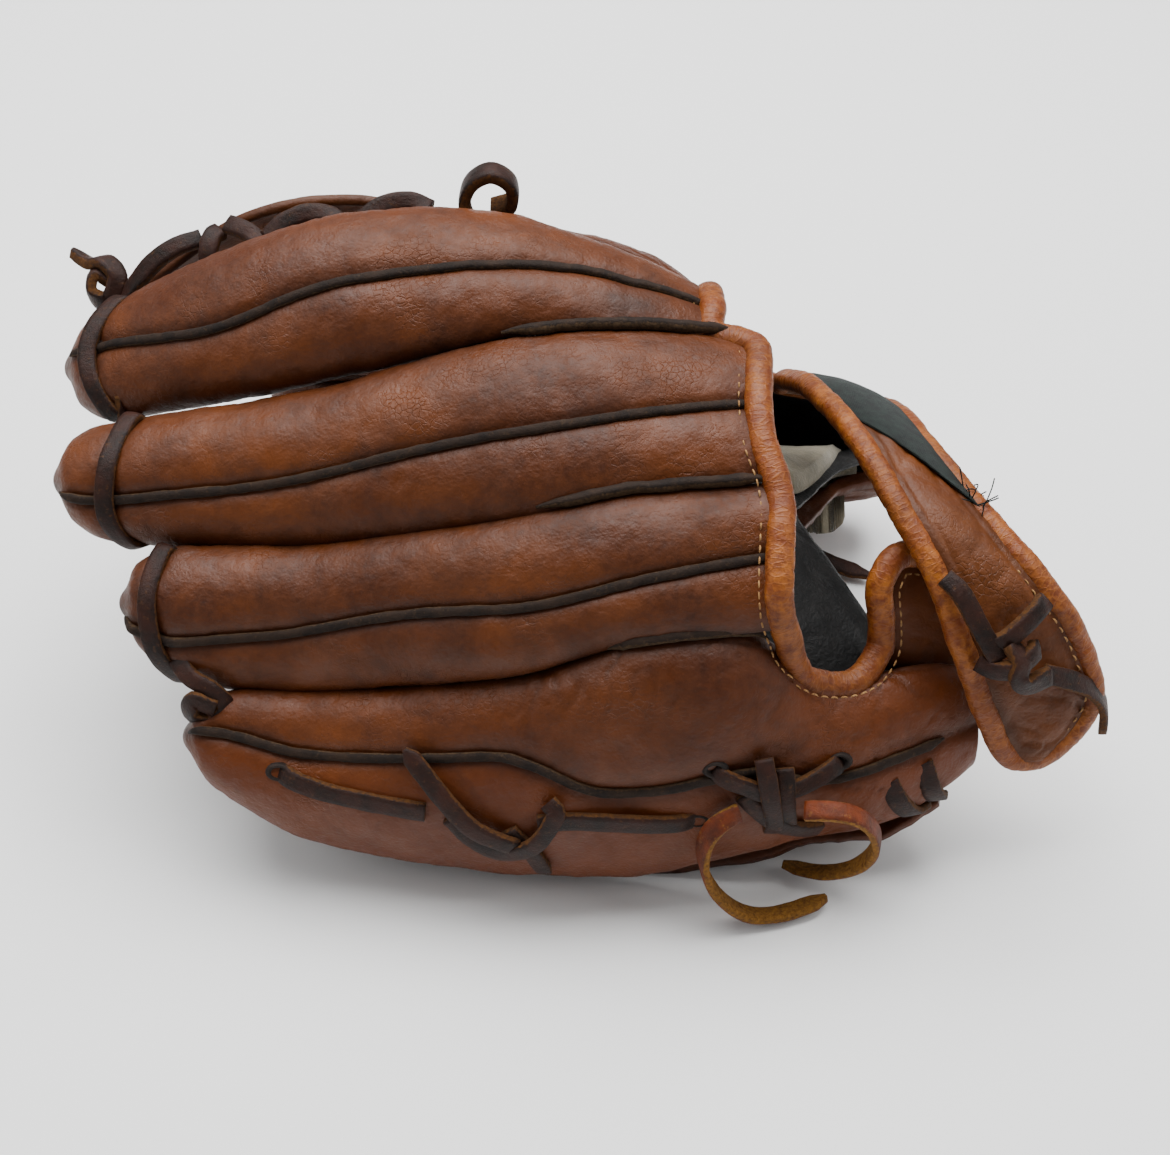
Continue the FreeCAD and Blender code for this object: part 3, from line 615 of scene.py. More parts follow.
def back_shape(key, x, u, p):
    """Displacement along the normal in mm, with dirt and painted shade, wear and tone, for a digit's back."""
    digit = DIGITS[key]
    half = hermite(digit, np.maximum(x, digit[0][0]), 3)
    arc = half * 1.12
    w = line_u(WELTS[key], x)
    ds = (u - w) * arc
    plain = np.clip((x + 30) / 14, 0, 1) if key == "pinky" else 0.0
    fade = np.clip((x - digit[0][0] - 3) / 8, 0, 1)
    depth = 1.25 * (1 - 0.35 * plain)
    d = -(depth * bump(ds, 0, 2.0) + 0.7 * bump(ds, 0, 6.0)) * fade
    edge = (1 - np.abs(u)) * arc
    d -= 0.3 * np.exp(-edge / 2.2)
    d += 0.9 * np.sin(np.clip(np.abs(ds) / (arc * 0.9), 0, 1) * np.pi) * fade
    d += 0.85 * rough(p, 26, 2, 3.1) + 0.30 * rough(p, 8, 3, 7.7) + 0.07 * rough(p, 2.0, 2, 1.9)
    # Painted shade: darker along the digit's edges, where it meets its neighbours, and along the welt's groove.
    dirt_and_shade = 0.62 * np.exp(-edge / 2.6) + 0.34 * np.exp(-(np.abs(ds) / 2.6) ** 2)
    wear = 0.15 + 0.35 * np.clip(rough(p, 30, 2, 11.0) + 0.3, 0, 1)
    tones = {"index": 0.10, "middle": 0.10, "ring": 0.06, "pinky": 0.22, "thumb": 0.35}
    tone = np.full(x.shape, tones[key])
    if key in WRAPS:
        spots = np.array(WRAPS[key][::-1], float)
        wu = spots[:, 1]
        at = np.interp(u, wu, spots[:, 0])
        d -= 1.1 * bump(x, at, 3.2) * window(u, wu[0] - 0.1, wu[-1] + 0.1, 0.3)
        # Painted shade in the groove where the wrapping lace draws the leather in.
        dirt_and_shade = dirt_and_shade + 0.42 * bump(x, at, 4.0) * window(u, wu[0], wu[-1], 0.4)
        wear = wear + 0.45 * np.clip((at - x) / 5, 0, 1)
    if key == "pinky":
        high = np.clip(u + 0.1, 0, 1)
        crease = ridges(p * np.array((1.0, 0.45, 0.8)), 7.5, 4.0) * window(x, -22, 40, 26) * high
        crease += 0.8 * ridges(p * np.array((0.55, 1.0, 1.3)), 9.0, 9.0) * window(x, 40, 100, 20)
        d -= 0.75 * crease
        # Painted shade in the creases, and darker towards the little finger's high edge from x -18 to 44 mm.
        dirt_and_shade = dirt_and_shade + 0.20 * crease + 0.30 * window(x, -18, 44, 26) * np.clip(u * 1.5 - 0.1, 0, 1)
        tone = tone + 0.42 * np.clip(-ds / 6, 0, 1) + 0.35 * np.clip((x - 52) / 26, 0, 1)
        wear = wear + 0.25 * crease
    if key == "index":
        pull = ridges(p * np.array((1.2, 0.6, 0.6)), 8.0, 2.0) * window(x, -132, -55, 20)
        pull = pull * np.clip(u - 0.2, 0, 1)
        d -= 0.55 * pull
        # Painted shade in the pulled creases, and a darker patch near the low edge at x 12 mm.
        dirt_and_shade = dirt_and_shade + 0.16 * pull + 0.5 * bump(x, 12, 11) * bump(u, -0.62, 0.20)
        tone = tone + 0.40 * np.clip(u * 1.3 - 0.2, 0, 1)
    if key in ("middle", "ring"):
        # Darker over the middle of these fingers, from x -80 to 20 mm.
        dirt_and_shade = dirt_and_shade + 0.10 * window(x, -80, 20, 40)
    knuckle = ridges(p * np.array((1.6, 0.35, 0.35)), 6.0, 6.0) * window(x, -120, -30, 40)
    d -= 0.16 * knuckle
    return d, np.clip(dirt_and_shade, 0, 1), np.clip(wear, 0, 1), np.clip(tone, 0, 1)


def digit_back(key, body):
    digit = DIGITS[key]
    x, u, p, n = digit_grid(digit, 1.15, 60)
    d, dirt_and_shade, wear, tone = back_shape(key, x, u, p)
    d = d * np.clip((x - digit[0][0] + 2) / 5, 0, 1)
    half = hermite(digit, np.maximum(x, digit[0][0]), 3)
    thick = np.minimum(3.6, 0.5 * half) * np.clip(tip_scale(digit, x), 0.2, 1)
    obj = slab(key + "_back_leather", p + n * d[..., None], p - n * thick[..., None], (HIDE, LINING),
               {"dirt_and_shade": dirt_and_shade, "wear": wear, "tone": tone})
    placed(obj, body, "glove_leather", key + "_back")


def digit_front(key, body):
    digit = DIGITS[key]
    x, u, p, n = digit_grid(digit, 1.5, 44, True, -14.0, 2.5)
    half = hermite(digit, np.maximum(x, digit[0][0]), 3)
    edge = (1 - np.abs(u)) * half
    d = 0.5 * rough(p, 22, 2, 5.0) + 0.2 * rough(p, 7, 3, 2.0) - 0.5 * np.exp(-edge / 2.0)
    d = d * np.clip((x - digit[0][0] + 2) / 5, 0, 1)
    thick = np.minimum(2.6, 0.4 * half) * np.clip(tip_scale(digit, x), 0.2, 1)
    # Darker towards its edges: painted shade where the palm side meets the back.
    obj = slab(key + "_front_leather", p + n * d[..., None], p - n * thick[..., None], (INNER_HIDE, LINING),
               {"dirt_and_shade": 0.15 + 0.5 * np.exp(-edge / 3.0), "wear": np.full(x.shape, 0.4),
                "tone": np.full(x.shape, 0.2)})
    placed(obj, body, "glove_leather", key + "_front")


def on_back(key, spots, lift):
    """Path and normals over a digit's back through (x, u) spots."""
    line = flat_curve(spots, 240)
    p, n = arch(DIGITS[key], line[:, 0], line[:, 1])
    d = back_shape(key, line[:, 0], line[:, 1], p)[0]
    path = p + n * (d + lift)[:, None]
    gaps = run(path)
    want = np.linspace(0, gaps[-1], max(4, int(gaps[-1] / 0.9)))
    return sample(want, gaps, path), sample(want, gaps, n)


def welt_strip(name, key, spots, lift, size, taper, seed, body, node):
    """A flattened welt lying on a digit's back."""
    path, up = on_back(key, spots, lift)
    prof = round_profile(*size, 10, 0.7)
    obj = sweep(name, path, up, prof, WELT, wobble=0.16, taper=taper, seed=seed,
                side_of=np.where(prof[:, 1] > 0.2, 0.9, 0.4))
    placed(obj, body, "welt_leather", node)


for key in DIGITS:
    body = "thumb_side" if key == "thumb" else "finger_side"
    digit_back(key, body)
    digit_front(key, body)
    welt_strip(key + "_welt_strip", key, WELTS[key], 0.75, (1.35, 1.35), 5.0, len(key), body, key + "_welt")
CROTCHES = {
    "index_middle_crotch_welt": ("middle", [(-22, 0.97), (5, 0.99), (25, 1.0), (45, 1.0)]),
    "middle_ring_crotch_welt": ("ring", [(-12, 0.93), (2, 0.94), (20, 0.96), (51, 1.0)]),
    "ring_pinky_crotch_welt": ("pinky", [(4, 0.95), (18, 0.91), (34, 0.90), (50, 0.95)]),
}
for name, (key, spots) in CROTCHES.items():
    welt_strip(name + "_strip", key, spots, 2.0, (1.5, 1.6), 8.0, 3.0, "finger_side", name)


# ------------------------------------------------------------------ palm
NOTCH = (47, 53)    # the share of the palm's columns, in percent, between which it is open at the wrist


def palm_line(table, x, first, last=7):
    """A palm table's (y, z) points at x."""
    keys = [r[0] for r in table]
    return [[np.interp(x, keys, [r[1][k][c] for r in table]) for c in range(2)] for k in range(first, last)]


def section_grid(xs, yz, towards=None):
    """Points and normals of a sheet from its (y, z) sections at xs. towards picks the normals' side in y."""
    t = np.gradient(yz, axis=1)
    n = unit(np.stack([np.zeros(yz.shape[:2]), -t[..., 1], t[..., 0]], -1))
    if towards is not None:
        n *= np.sign(n[..., 1:2] * towards + n[..., 2:3] + 1e-9)
    return np.concatenate([np.repeat(xs[:, None, None], yz.shape[1], 1), yz], -1), n


def palm_point_grid(offset, cols, xs, first):
    """The palm's pocket face over both sides, bridged at the fold, raised by offset mm towards the hand."""
    rows = []
    marks = [0, NOTCH[0] * cols // 100, NOTCH[1] * cols // 100, cols - 1]
    for x in xs:
        finger, thumb = palm_line(FINGER_PALM, x, first), palm_line(THUMB_PALM, x, first)[::-1]
        fine = flat_curve(finger + thumb, 900)
        cuts = [int(np.argmin(np.linalg.norm(fine - e, axis=1))) for e in (finger[-1], thumb[0])]
        at = np.interp(np.arange(cols), marks, [0, *cuts, 899])
        rows.append(sample(at, np.arange(900), fine))
    p, n = section_grid(xs, np.array(rows))
    return p + n * offset, n


def solid(obj, thickness):
    """Turns a single sheet into a closed one, with the modifier applied."""
    mod = obj.modifiers.new("solid", "SOLIDIFY")
    mod.thickness = thickness / 1000
    mod.offset = -1.0
    mod.material_offset = 1
    mod.material_offset_rim = 0
    mod.use_rim = True
    deps = bpy.context.evaluated_depsgraph_get()
    deps.update()
    mesh = bpy.data.meshes.new_from_object(obj.evaluated_get(deps))
    obj.modifiers.clear()
    obj.data = mesh


def palm_sheet(name, offset, thickness, mat, nodes, first, cols):
    """A sheet over the whole palm, bent across its crease."""
    xs = np.concatenate([np.arange(-13.0, 104, 1.6), [104.0]])
    p, n = palm_point_grid(offset, cols, xs, first)
    wave = 0.9 * rough(p, 24, 2, 2.0) + 0.3 * rough(p, 7, 3, 8.0) - 0.48 * ridges(p, 11, 3.0)
    p = p + n * (wave * window(p[..., 0], -8, 200, 6))[..., None]
    faces = []
    lo, hi = NOTCH[0] * cols // 100, NOTCH[1] * cols // 100
    for i in range(len(xs) - 1):
        for j in range(cols - 1):
            if xs[i] > 64 and lo <= j < hi:
                continue
            a = i * cols + j
            faces.append([a, a + cols, a + cols + 1, a + 1])
    dirt_and_shade = np.clip(0.15 + 0.5 * rough(p, 30, 3, 4.0), 0, 1)
    obj = make(name, p, faces, (mat, mat), attributes={
        "dirt_and_shade": dirt_and_shade, "wear": np.full(dirt_and_shade.shape, 0.5), "tone": np.full(dirt_and_shade.shape, 0.15)})
    mesh = bmesh.new()
    mesh.from_mesh(obj.data)
    bmesh.ops.delete(mesh, geom=[v for v in mesh.verts if not v.link_faces], context="VERTS")
    mesh.to_mesh(obj.data)
    mesh.free()
    solid(obj, thickness)
    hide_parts(*nodes)
    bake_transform(obj)


palm_sheet("palm_hide", 0.0, 2.8, INNER_HIDE, ("finger_palm_hide", "thumb_palm_hide"), 0, 150)
palm_sheet("palm_lining_leather", 9.6, 1.3, LINING, ("finger_palm_lining", "thumb_palm_lining"),
           2, 120)
for side, table, towards in (("finger", FINGER_PALM, -1.0), ("thumb", THUMB_PALM, 1.0)):
    xs = np.arange(-11.0, 94, 4.0)
    p, n = section_grid(xs, np.array([flat_curve(palm_line(table, x, 2), 46)[2:36] for x in xs]), towards)
    obj = slab(side + "_pad_felt", p + n * 7.6, p + n * 3.8, (FELT, FELT))
    placed(obj, side + "_side", "felt", side + "_palm_pad")


# ------------------------------------------------------------------ web, gusset, heel flap and heel pad
def skin_grid(table, xs, cols, out):
    """Points and outward normals of a sheet through a table's sections."""
    ctrl = np.stack([np.stack([hermite([(r[0], r[1][k][c]) for r in table], xs, 1) for c in range(2)], -1)
                     for k in range(len(table[0][1]))], 1)
    yz = np.array([flat_curve(row, cols) for row in ctrl])
    p = np.concatenate([np.repeat(xs[:, None, None], cols, 1), yz], -1)
    n = grid_normals(p)
    n *= np.sign((n * np.array(out)).sum(-1, keepdims=True))
    return p, n


def border(p):
    """Distance in mm from the nearest edge of a grid."""
    along = np.cumsum(np.linalg.norm(np.diff(p, axis=0), axis=-1), 0)
    along = np.concatenate([np.zeros((1, p.shape[1])), along])
    across = np.cumsum(np.linalg.norm(np.diff(p, axis=1), axis=-1), 1)
    across = np.concatenate([np.zeros((p.shape[0], 1)), across], 1)
    return np.minimum(np.minimum(along, along[-1:] - along), np.minimum(across, across[:, -1:] - across))


def skin(name, table, step, cols, thick, mats, node, out, seam=0.0, tone=0.5):
    """A sheet with a worn rim with painted shade along it, and a pressed seam line with painted shade in it
    where seam is given.
    """
    xs = np.arange(table[0][0], table[-1][0] + step * 0.5, step)
    p, n = skin_grid(table, xs, cols, out)
    edge = border(p)
    d = 0.8 * rough(p, 24, 2, 6.0) + 0.25 * rough(p, 7, 3, 1.0) - 0.35 * ridges(p, 9, 5.0)
    # Painted shade along the rim and in the seam's groove, over a little random dirt.
    dirt_and_shade = 0.1 + 0.35 * np.exp(-edge / 1.5) + 0.15 * rough(p, 14, 3, 2.0)
    if seam:
        d -= 0.7 * bump(edge, seam, 1.1)
        dirt_and_shade += 0.35 * bump(edge, seam, 1.5)
    d *= np.clip(edge / 3, 0, 1)
    d -= 0.5 * np.exp(-edge / 0.8)
    wear = 0.3 + 0.5 * bump(edge, 1.5, 1.8)
    obj = slab(name, p + n * d[..., None], p - n * thick, mats,
               {"dirt_and_shade": np.clip(dirt_and_shade, 0, 1), "wear": wear, "tone": np.full(dirt_and_shade.shape, tone)})
    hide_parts(node)
    return obj


web = skin("web_leather", WEB, 1.2, 60, 3.6, (STRAP_HIDE, STRAP_HIDE), "web_panel", (0, 1, 1), seam=6.0)
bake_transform(web)
gusset = skin("gusset_leather", GUSSET, 1.2, 26, 2.7, (HIDE, LINING), "thumb_gusset", (0, 1, 1), tone=0.45)
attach(gusset, "finger_side")
flap = skin("heel_flap_leather", HEEL_FLAP, 1.0, 34, 2.7, (STRAP_HIDE, LINING), "heel_flap", (0, -1, 1),
            tone=0.6)
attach(flap, "finger_side")


def heel_pad():
    """A plump oval of felt inside the thumb's heel."""
    across, along = np.meshgrid(np.linspace(-1, 1, 44), np.linspace(-1, 1, 40))
    share = 0.50 + 0.40 * across * np.sqrt(np.clip(1 - 0.93 * along ** 2, 0, 1))
    xs = 74 + 15 * along[:, 0]
    rows = [sample(share[i] * 199, np.arange(200), flat_curve(palm_line(THUMB_PALM, x, 3), 200))
            for i, x in enumerate(xs)]
    p, n = section_grid(xs, np.array(rows), -1.0)
    plump = 4.6 * np.sqrt(np.clip(border(p) / 5.0, 0, 1)) + 0.3 * rough(p, 8, 3, 3.0)
    pad = slab("heel_pad_felt", p + n * (10.2 + plump)[..., None], p + n * 10.0, (FELT, FELT))
    placed(pad, "thumb_side", "felt", "thumb_heel_felt")


heel_pad()


# ------------------------------------------------------------------ rolled bindings
def rolled(name, points, ups, rx, ry, node, body, seed):
    """A rolled leather edge, puckered across its length."""
    both = cubic(np.hstack([points, ups]), step=0.7)
    path, up = both[:, :3], both[:, 3:]
    path = path + 0.35 * np.stack([rough(path, 9, 2, seed + k) for k in range(3)], -1)
    obj = sweep(name, path, up, round_profile(rx, ry, 22, 0.92), BINDING, wobble=0.045, taper=3.0, seed=seed,
                attributes={"dirt_and_shade": np.clip(0.22 * rough(path, 26, 3, seed), 0, 1),
                            "wear": np.clip(0.35 + 0.5 * rough(path, 15, 3, seed + 2), 0, 1)})
    around = obj.data.attributes.new("around", "FLOAT", "POINT")
    rows = len(path)
    around.data.foreach_set("value", np.tile(np.abs(np.linspace(-1, 1, 22)), rows).astype(np.float32))
    co = np.empty(len(obj.data.vertices) * 3)
    obj.data.vertices.foreach_get("co", co)
    co = co.reshape(rows, 22, 3) * 1000 - SHIFT
    flat = 0 * co[..., 0]
    folds = np.stack([run(path)[:, None] * 0.55 + flat, 2.2 * rough(co, 5.0, 1, seed + 4), flat], -1)
    co = co + (path[:, None] - co) * (0.06 * ridges(folds, 1.5, seed))[..., None]
    obj.data.vertices.foreach_set("co", ((co + SHIFT) / 1000).reshape(-1))
    obj.data.update()
    placed(obj, body, "edge_leather", node)
    return path, up


def edge_points():
    """The back opening's edge, from the forefinger over each digit and round the heel flap."""
    spots = [("index", 37, u) for u in (0.9, 0.3, -0.35, -0.9)]
    spots += [("middle", 48, u) for u in (0.75, 0.2, -0.45)]
    spots += [("ring", 52, u) for u in (0.85, 0.1, -0.6)]
    spots += [("pinky", x, 0.96) for x in (59, 67, 76)]
    pairs = [arch(DIGITS[key], x, u) for key, x, u in spots]
    pairs += [((x, y, z), (0, -0.8, 0.6)) for x, y, z in (
        (83, -60.5, 68), (83, -57, 76), (82, -53, 86), (86, -47.5, 91), (93, -45, 90), (100, -44, 86),
        (106, -43, 81))]
    return pairs


def columns(pairs):
    """Pairs of points and normals as two arrays."""
    return np.array([p for p, n in pairs], float), np.array([n for p, n in pairs], float)


rim_path, rim_up = rolled("back_opening_rolled_edge", *columns(edge_points()), 3.9, 3.5, "back_opening_binding",
                          "finger_side", 1.0)
rolled("thumb_opening_rolled_edge", *columns([arch(THUMB, x, -0.97) for x in (40, 52, 64, 80, 96)]), 3.2, 3.0,
       "thumb_opening_binding", "thumb_side", 4.0)


def stitches(name, path, ups, body, pitch=3.0, length=2.1, lift=1.1):
    """A row of thread stitches along a path, each a short bowed strand."""
    radius = 0.25
    gaps = run(path)
    verts, faces = [], []
    ring = np.linspace(0, 2 * np.pi, 6, endpoint=False)
    for k in range(int(gaps[-1] / pitch)):
        s = (k + 0.5) * pitch
        a, b = (sample(s + t * length, gaps, path) for t in (-0.5, 0.5))
        up = sample(s, gaps, ups)
        side = unit(np.cross(b - a, up))
        base = len(verts)
        for t, size, rise in ((0, 0.45, -0.9), (0.2, 1, 0.5), (0.5, 1.08, 0.9), (0.8, 1, 0.5), (1, 0.45, -0.9)):
            c = a + (b - a) * t + up * (lift + radius * rise)
            verts += [c + (side * math.cos(r) + up * math.sin(r)) * radius * size for r in ring]
        faces += [[base + v for v in f] for f in tube_faces(5, 6)]
    placed(make(name, verts, faces, (THREAD,)), body, "edge_leather")


def beside(path, ups, distance):
    """The path moved sideways over the leather."""
    return path + unit(np.cross(unit(np.gradient(path, axis=0)), ups)) * distance


# ------------------------------------------------------------------ wrist strap
def shares(points):
    """Each control point's share of the curve's length."""
    c = cubic(points, count=2000)
    return [np.argmin(np.linalg.norm(c - np.array(q, float), axis=1)) / 1999 for q in points]


def strap_grid(depth, rows, cols, low=0.0, high=1.0, first=0.0, last=8.0, bow=2.5):
    """The strap's face between its edges, from one control point to another, raised by depth."""
    edges = []
    for points in (STRAP_INNER, STRAP_OUTER):
        at = np.interp(np.linspace(first, last, rows), np.arange(len(points)), shares(points))
        edges.append(sample(at, np.linspace(0, 1, 400), cubic(points, count=400)))
    a, b = edges
    across = unit(b - a)
    out = (a + b) / 2 - STRAP_CENTRE
    out = unit(out - across * np.sum(out * across, axis=1, keepdims=True))
    v = np.linspace(low, high, cols)[None, :, None]
    p = a[:, None] + (b - a)[:, None] * v + out[:, None] * (bow * 4 * v * (1 - v) + depth)
    return p, np.repeat(out[:, None], cols, 1)


def strap_leather():
    p, n = strap_grid(0.0, 150, 40)
    edge = border(p)
    d = 0.9 * rough(p, 22, 2, 2.0) + 0.3 * rough(p, 6, 3, 4.0) - 0.5 * ridges(p, 12, 8.0)
    d = d * np.clip(edge / 4, 0, 1) - 0.5 * bump(edge, 6.2, 1.0)
    # Painted shade in a band beside the rolled edge, over random dirt.
    dirt_and_shade = 0.08 + 0.30 * bump(edge, 4.0, 2.0) + 0.22 * rough(p, 16, 3, 5.0)
    obj = slab("wrist_strap_leather", p + n * d[..., None], p - n * 2.8, (STRAP_HIDE, STRAP_HIDE),
               {"dirt_and_shade": np.clip(dirt_and_shade, 0, 1), "wear": np.clip(0.35 + 0.4 * rough(p, 18, 2, 9.0), 0, 1),
                "tone": np.full(dirt_and_shade.shape, 0.35)})
    placed(obj, "strap", "edge_leather", "wrist_strap")


def strap_lining():
    p, n = strap_grid(-3.2, 80, 20, 0.05, 0.95)
    none = np.zeros(p.shape[:2])
    obj = slab("strap_lining_leather", p, p - n, (LINING, STRAP_HIDE),
               {"dirt_and_shade": none, "wear": none, "tone": none})
    placed(obj, "strap", "lining_leather", "strap_lining")


def strap_label():
    """The woven label, whose end is cut on the slant."""
    low, high, rows, cols = 0.06, 0.985, 110, 40
    p, n = strap_grid(1.0, rows, cols, low, high, 3.9, 8.0)
    start = (1.45 - 1.35 * np.linspace(low, high, cols)[None, :, None]) / 4.1
    at = (start + (1 - start) * np.linspace(0, 1, rows)[:, None, None]) * (rows - 1)
    lo = np.clip(at.astype(int), 0, rows - 2)
    column = np.arange(cols)[None, :]
    p = p[lo[..., 0], column] + (p[lo[..., 0] + 1, column] - p[lo[..., 0], column]) * (at - lo)
    n = n[lo[..., 0], column]
    top = p + n * (0.15 * rough(p, 8, 2, 1.0))[..., None]
    obj = slab("strap_label_weave", top, p - n * 0.7, (LABEL, LABEL))
    placed(obj, "strap", "label", "strap_label")


strap_leather()
strap_lining()
strap_label()
rim = np.array(STRAP_INNER[::-1] + STRAP_OUTER, float)
away = unit(rim - STRAP_CENTRE)
strap_path, strap_up = rolled("strap_rolled_edge", rim - away * 1.4, away, 3.5, 3.3, "strap_binding", "strap",
                              8.0)


# ------------------------------------------------------------------ laces
def joined(name, objs, body, slot, *nodes):
    """Several meshes as one piece."""
    mesh = bmesh.new()
    for o in objs:
        mesh.from_mesh(o.data)
    mesh.to_mesh(objs[0].data)
    mesh.free()
    objs[0].name = name
    for o in objs[1:]:
        bpy.data.objects.remove(o)
    return placed(objs[0], body, slot, *nodes)


def lacing(name, strands, node, body, seed, **shape):
    """Several strands of one lace as one piece."""
    pieces = [ribbon("strand", rows, LACE, seed=seed + k, **shape) for k, rows in enumerate(strands)]
    joined(name, pieces, body, "lace_leather", node)


def over(key, spots):
    """Rows for a lace over a digit's back, from (x, u, lift) spots."""
    rows = []
    for x, u, h in spots:
        p, n = arch(DIGITS[key], x, u)
        rows.append((*(p + n * h), *n))
    return rows


def tips_and_knots():
    """The lace that wraps each fingertip and passes from finger to finger, and the knots at its ends."""
    wraps = {
        "index": [(-133, 0.85, -2.0), (-136, 0.66, 0.6), (-141, 0.3, 0.7), (-143, -0.05, 0.7),
                  (-141, -0.4, 0.7), (-136, -0.76, 0.7), (-132, -0.98, -1.5)],
        "middle": [(-124, 0.92, -2.0), (-127, 0.72, 0.6), (-131, 0.12, 0.7), (-132, -0.42, 0.7),
                   (-127, -0.86, 0.7), (-122, -1.05, -1.5)],
        "ring": [(-113, 1.0, -2.0), (-116, 0.8, 0.6), (-119, 0.2, 0.7), (-118, -0.35, 0.7), (-113, -0.78, 0.7),
                 (-110, -1.0, 0.5)],
    }
    pieces = [ribbon("strand", over(key, spots), LACE, width=2.6, seed=k * 3.0)
              for k, (key, spots) in enumerate(wraps.items())]
    link = [(-133, 3, 108, 1, 0, 0.3), (-131, -1, 101, 0.5, -0.5, 1), (-128, -5, 103, 0, 0, 1)]
    pieces.append(ribbon("strand", link, LACE, seed=12.0))
    joined("fingertip_lacing", pieces, "finger_side", "lace_leather", "fingertip_lace")
    rows = [(-136, 38, 113, 0, 0.6, 0.8), (-140, 43, 118, -0.4, 0.3, 0.9), (-146, 44, 121, -0.8, 0, 0.6),
            (-147, 40, 117, -0.9, -0.4, 0), (-142, 38, 115, 0, -1, 0.2), (-139, 42, 121, 0.3, -0.3, 0.9),
            (-143, 46, 124, -0.2, 0.4, 0.9), (-148, 48, 122, -0.3, 0.6, 0.7), (-154, 51, 124, 0, 0.2, 1)]
    knot = ribbon("index_tip_lace_knot", rows, LACE, seed=2.0, tips=(0, 7), width=3.1, thick=1.6)
    placed(knot, "finger_side", "lace_leather", "index_tip_knot")
    rows = [(-112, -64, 68, 0, -0.7, 0.7), (-108, -69, 66, 0, -0.8, 0.6), (-102, -72, 64, 0.3, -0.9, 0.4),
            (-99, -73, 59, 0.6, -0.8, 0), (-103, -75, 55, 0, -1, -0.2), (-108, -75, 57, -0.6, -0.8, 0),
            (-107, -74, 62, -0.3, -0.9, 0.3), (-101, -75, 60, 0.2, -1, 0.2)]
    knot = ribbon("ring_pinky_lace_knot", rows, LACE, seed=4.0, width=2.6, thick=1.3)
    placed(knot, "finger_side", "lace_leather", "ring_pinky_knot")


def web_laces():
    lacing("web_index_lacing", (
        [(-137, 38, 116, -0.6, -0.3, 0.7), (-133, 39, 121, -0.5, -0.5, 0.8), (-127, 41, 127, -0.2, -0.6, 0.8),
         (-120, 43.5, 131, 0, -0.6, 0.8), (-113, 47, 131.5, 0.2, -0.5, 0.8)],
        [(-110, 38, 126, 0, -0.2, 1), (-110, 40, 131, 0, -0.8, 0.6), (-109, 44, 134, 0, -0.6, 0.8),
         (-107, 47, 134, 0.2, -0.1, 1)],
        [(-104, 46, 137, 0, -0.5, 0.9), (-101, 44, 137.5, 0.1, -0.6, 0.8), (-97, 42, 136.5, 0.1, -0.6, 0.8),
         (-94, 39, 135.5, 0, -0.3, 1)],
        [(-92, 40, 136, 0, -0.4, 0.9), (-87, 43, 139.5, 0, -0.7, 0.7), (-80, 45, 141.5, 0, -0.7, 0.7),
         (-73, 44.5, 141, 0, -0.4, 0.9), (-70, 41, 139.5, 0, -0.2, 1)],
        [(-64, 42, 141, 0, -0.4, 0.9), (-58, 45, 144, 0, -0.7, 0.7), (-50, 46, 145, 0, -0.7, 0.7),
         (-44, 44, 143.5, 0, -0.2, 1)],
    ), "web_index_lace", "finger_side", 40.0, width=2.8, thick=1.5)
    strands = []
    for x in np.arange(-104, -44, 9.0):
        y, z = np.interp(x, (-100, -66, -38), (75.5, 75.5, 69.5)), np.interp(x, (-100, -66, -38), (79, 81, 93))
        low_y, low_z = np.interp(x, (-100, -58), (80, 79.5)), np.interp(x, (-100, -58), (60.5, 66))
        strands.append([(x, y - 1.5, z + 6, 0, 0.8, 0.6), (x + 0.5, y + 1.8, z, 0, 0.9, 0.4),
                        (x + 2, (y + low_y) / 2 + 2.4, (z + low_z) / 2, 0, 1, 0.2),
                        (x + 3.5, low_y + 2.6, low_z + 2.0, 0, 0.9, 0.4),
                        (x + 4, low_y + 5.5, low_z - 4.5, 0, 1, 0.3)])
    lacing("web_thumb_lacing", strands, "web_thumb_lace", "thumb_side", 60.0, width=2.7, thick=1.2)
    rows = [(-31, 43, 137, -1, 0, 0), (-34, 45, 144, -1, 0, 0.2), (-32, 46, 151, -0.8, 0, 0.6),
            (-26, 46, 154.5, 0, 0, 1), (-20.5, 46, 151, 0.9, 0, 0.5), (-20.5, 47, 144, 1, 0, -0.1),
            (-26, 48, 141, 0.3, 0.3, -0.9)]
    loop = ribbon("web_top_lace_loop", rows, LACE, seed=8.0, width=3.6, thick=1.7)
    placed(loop, "finger_side", "lace_leather", "top_loop_lace")


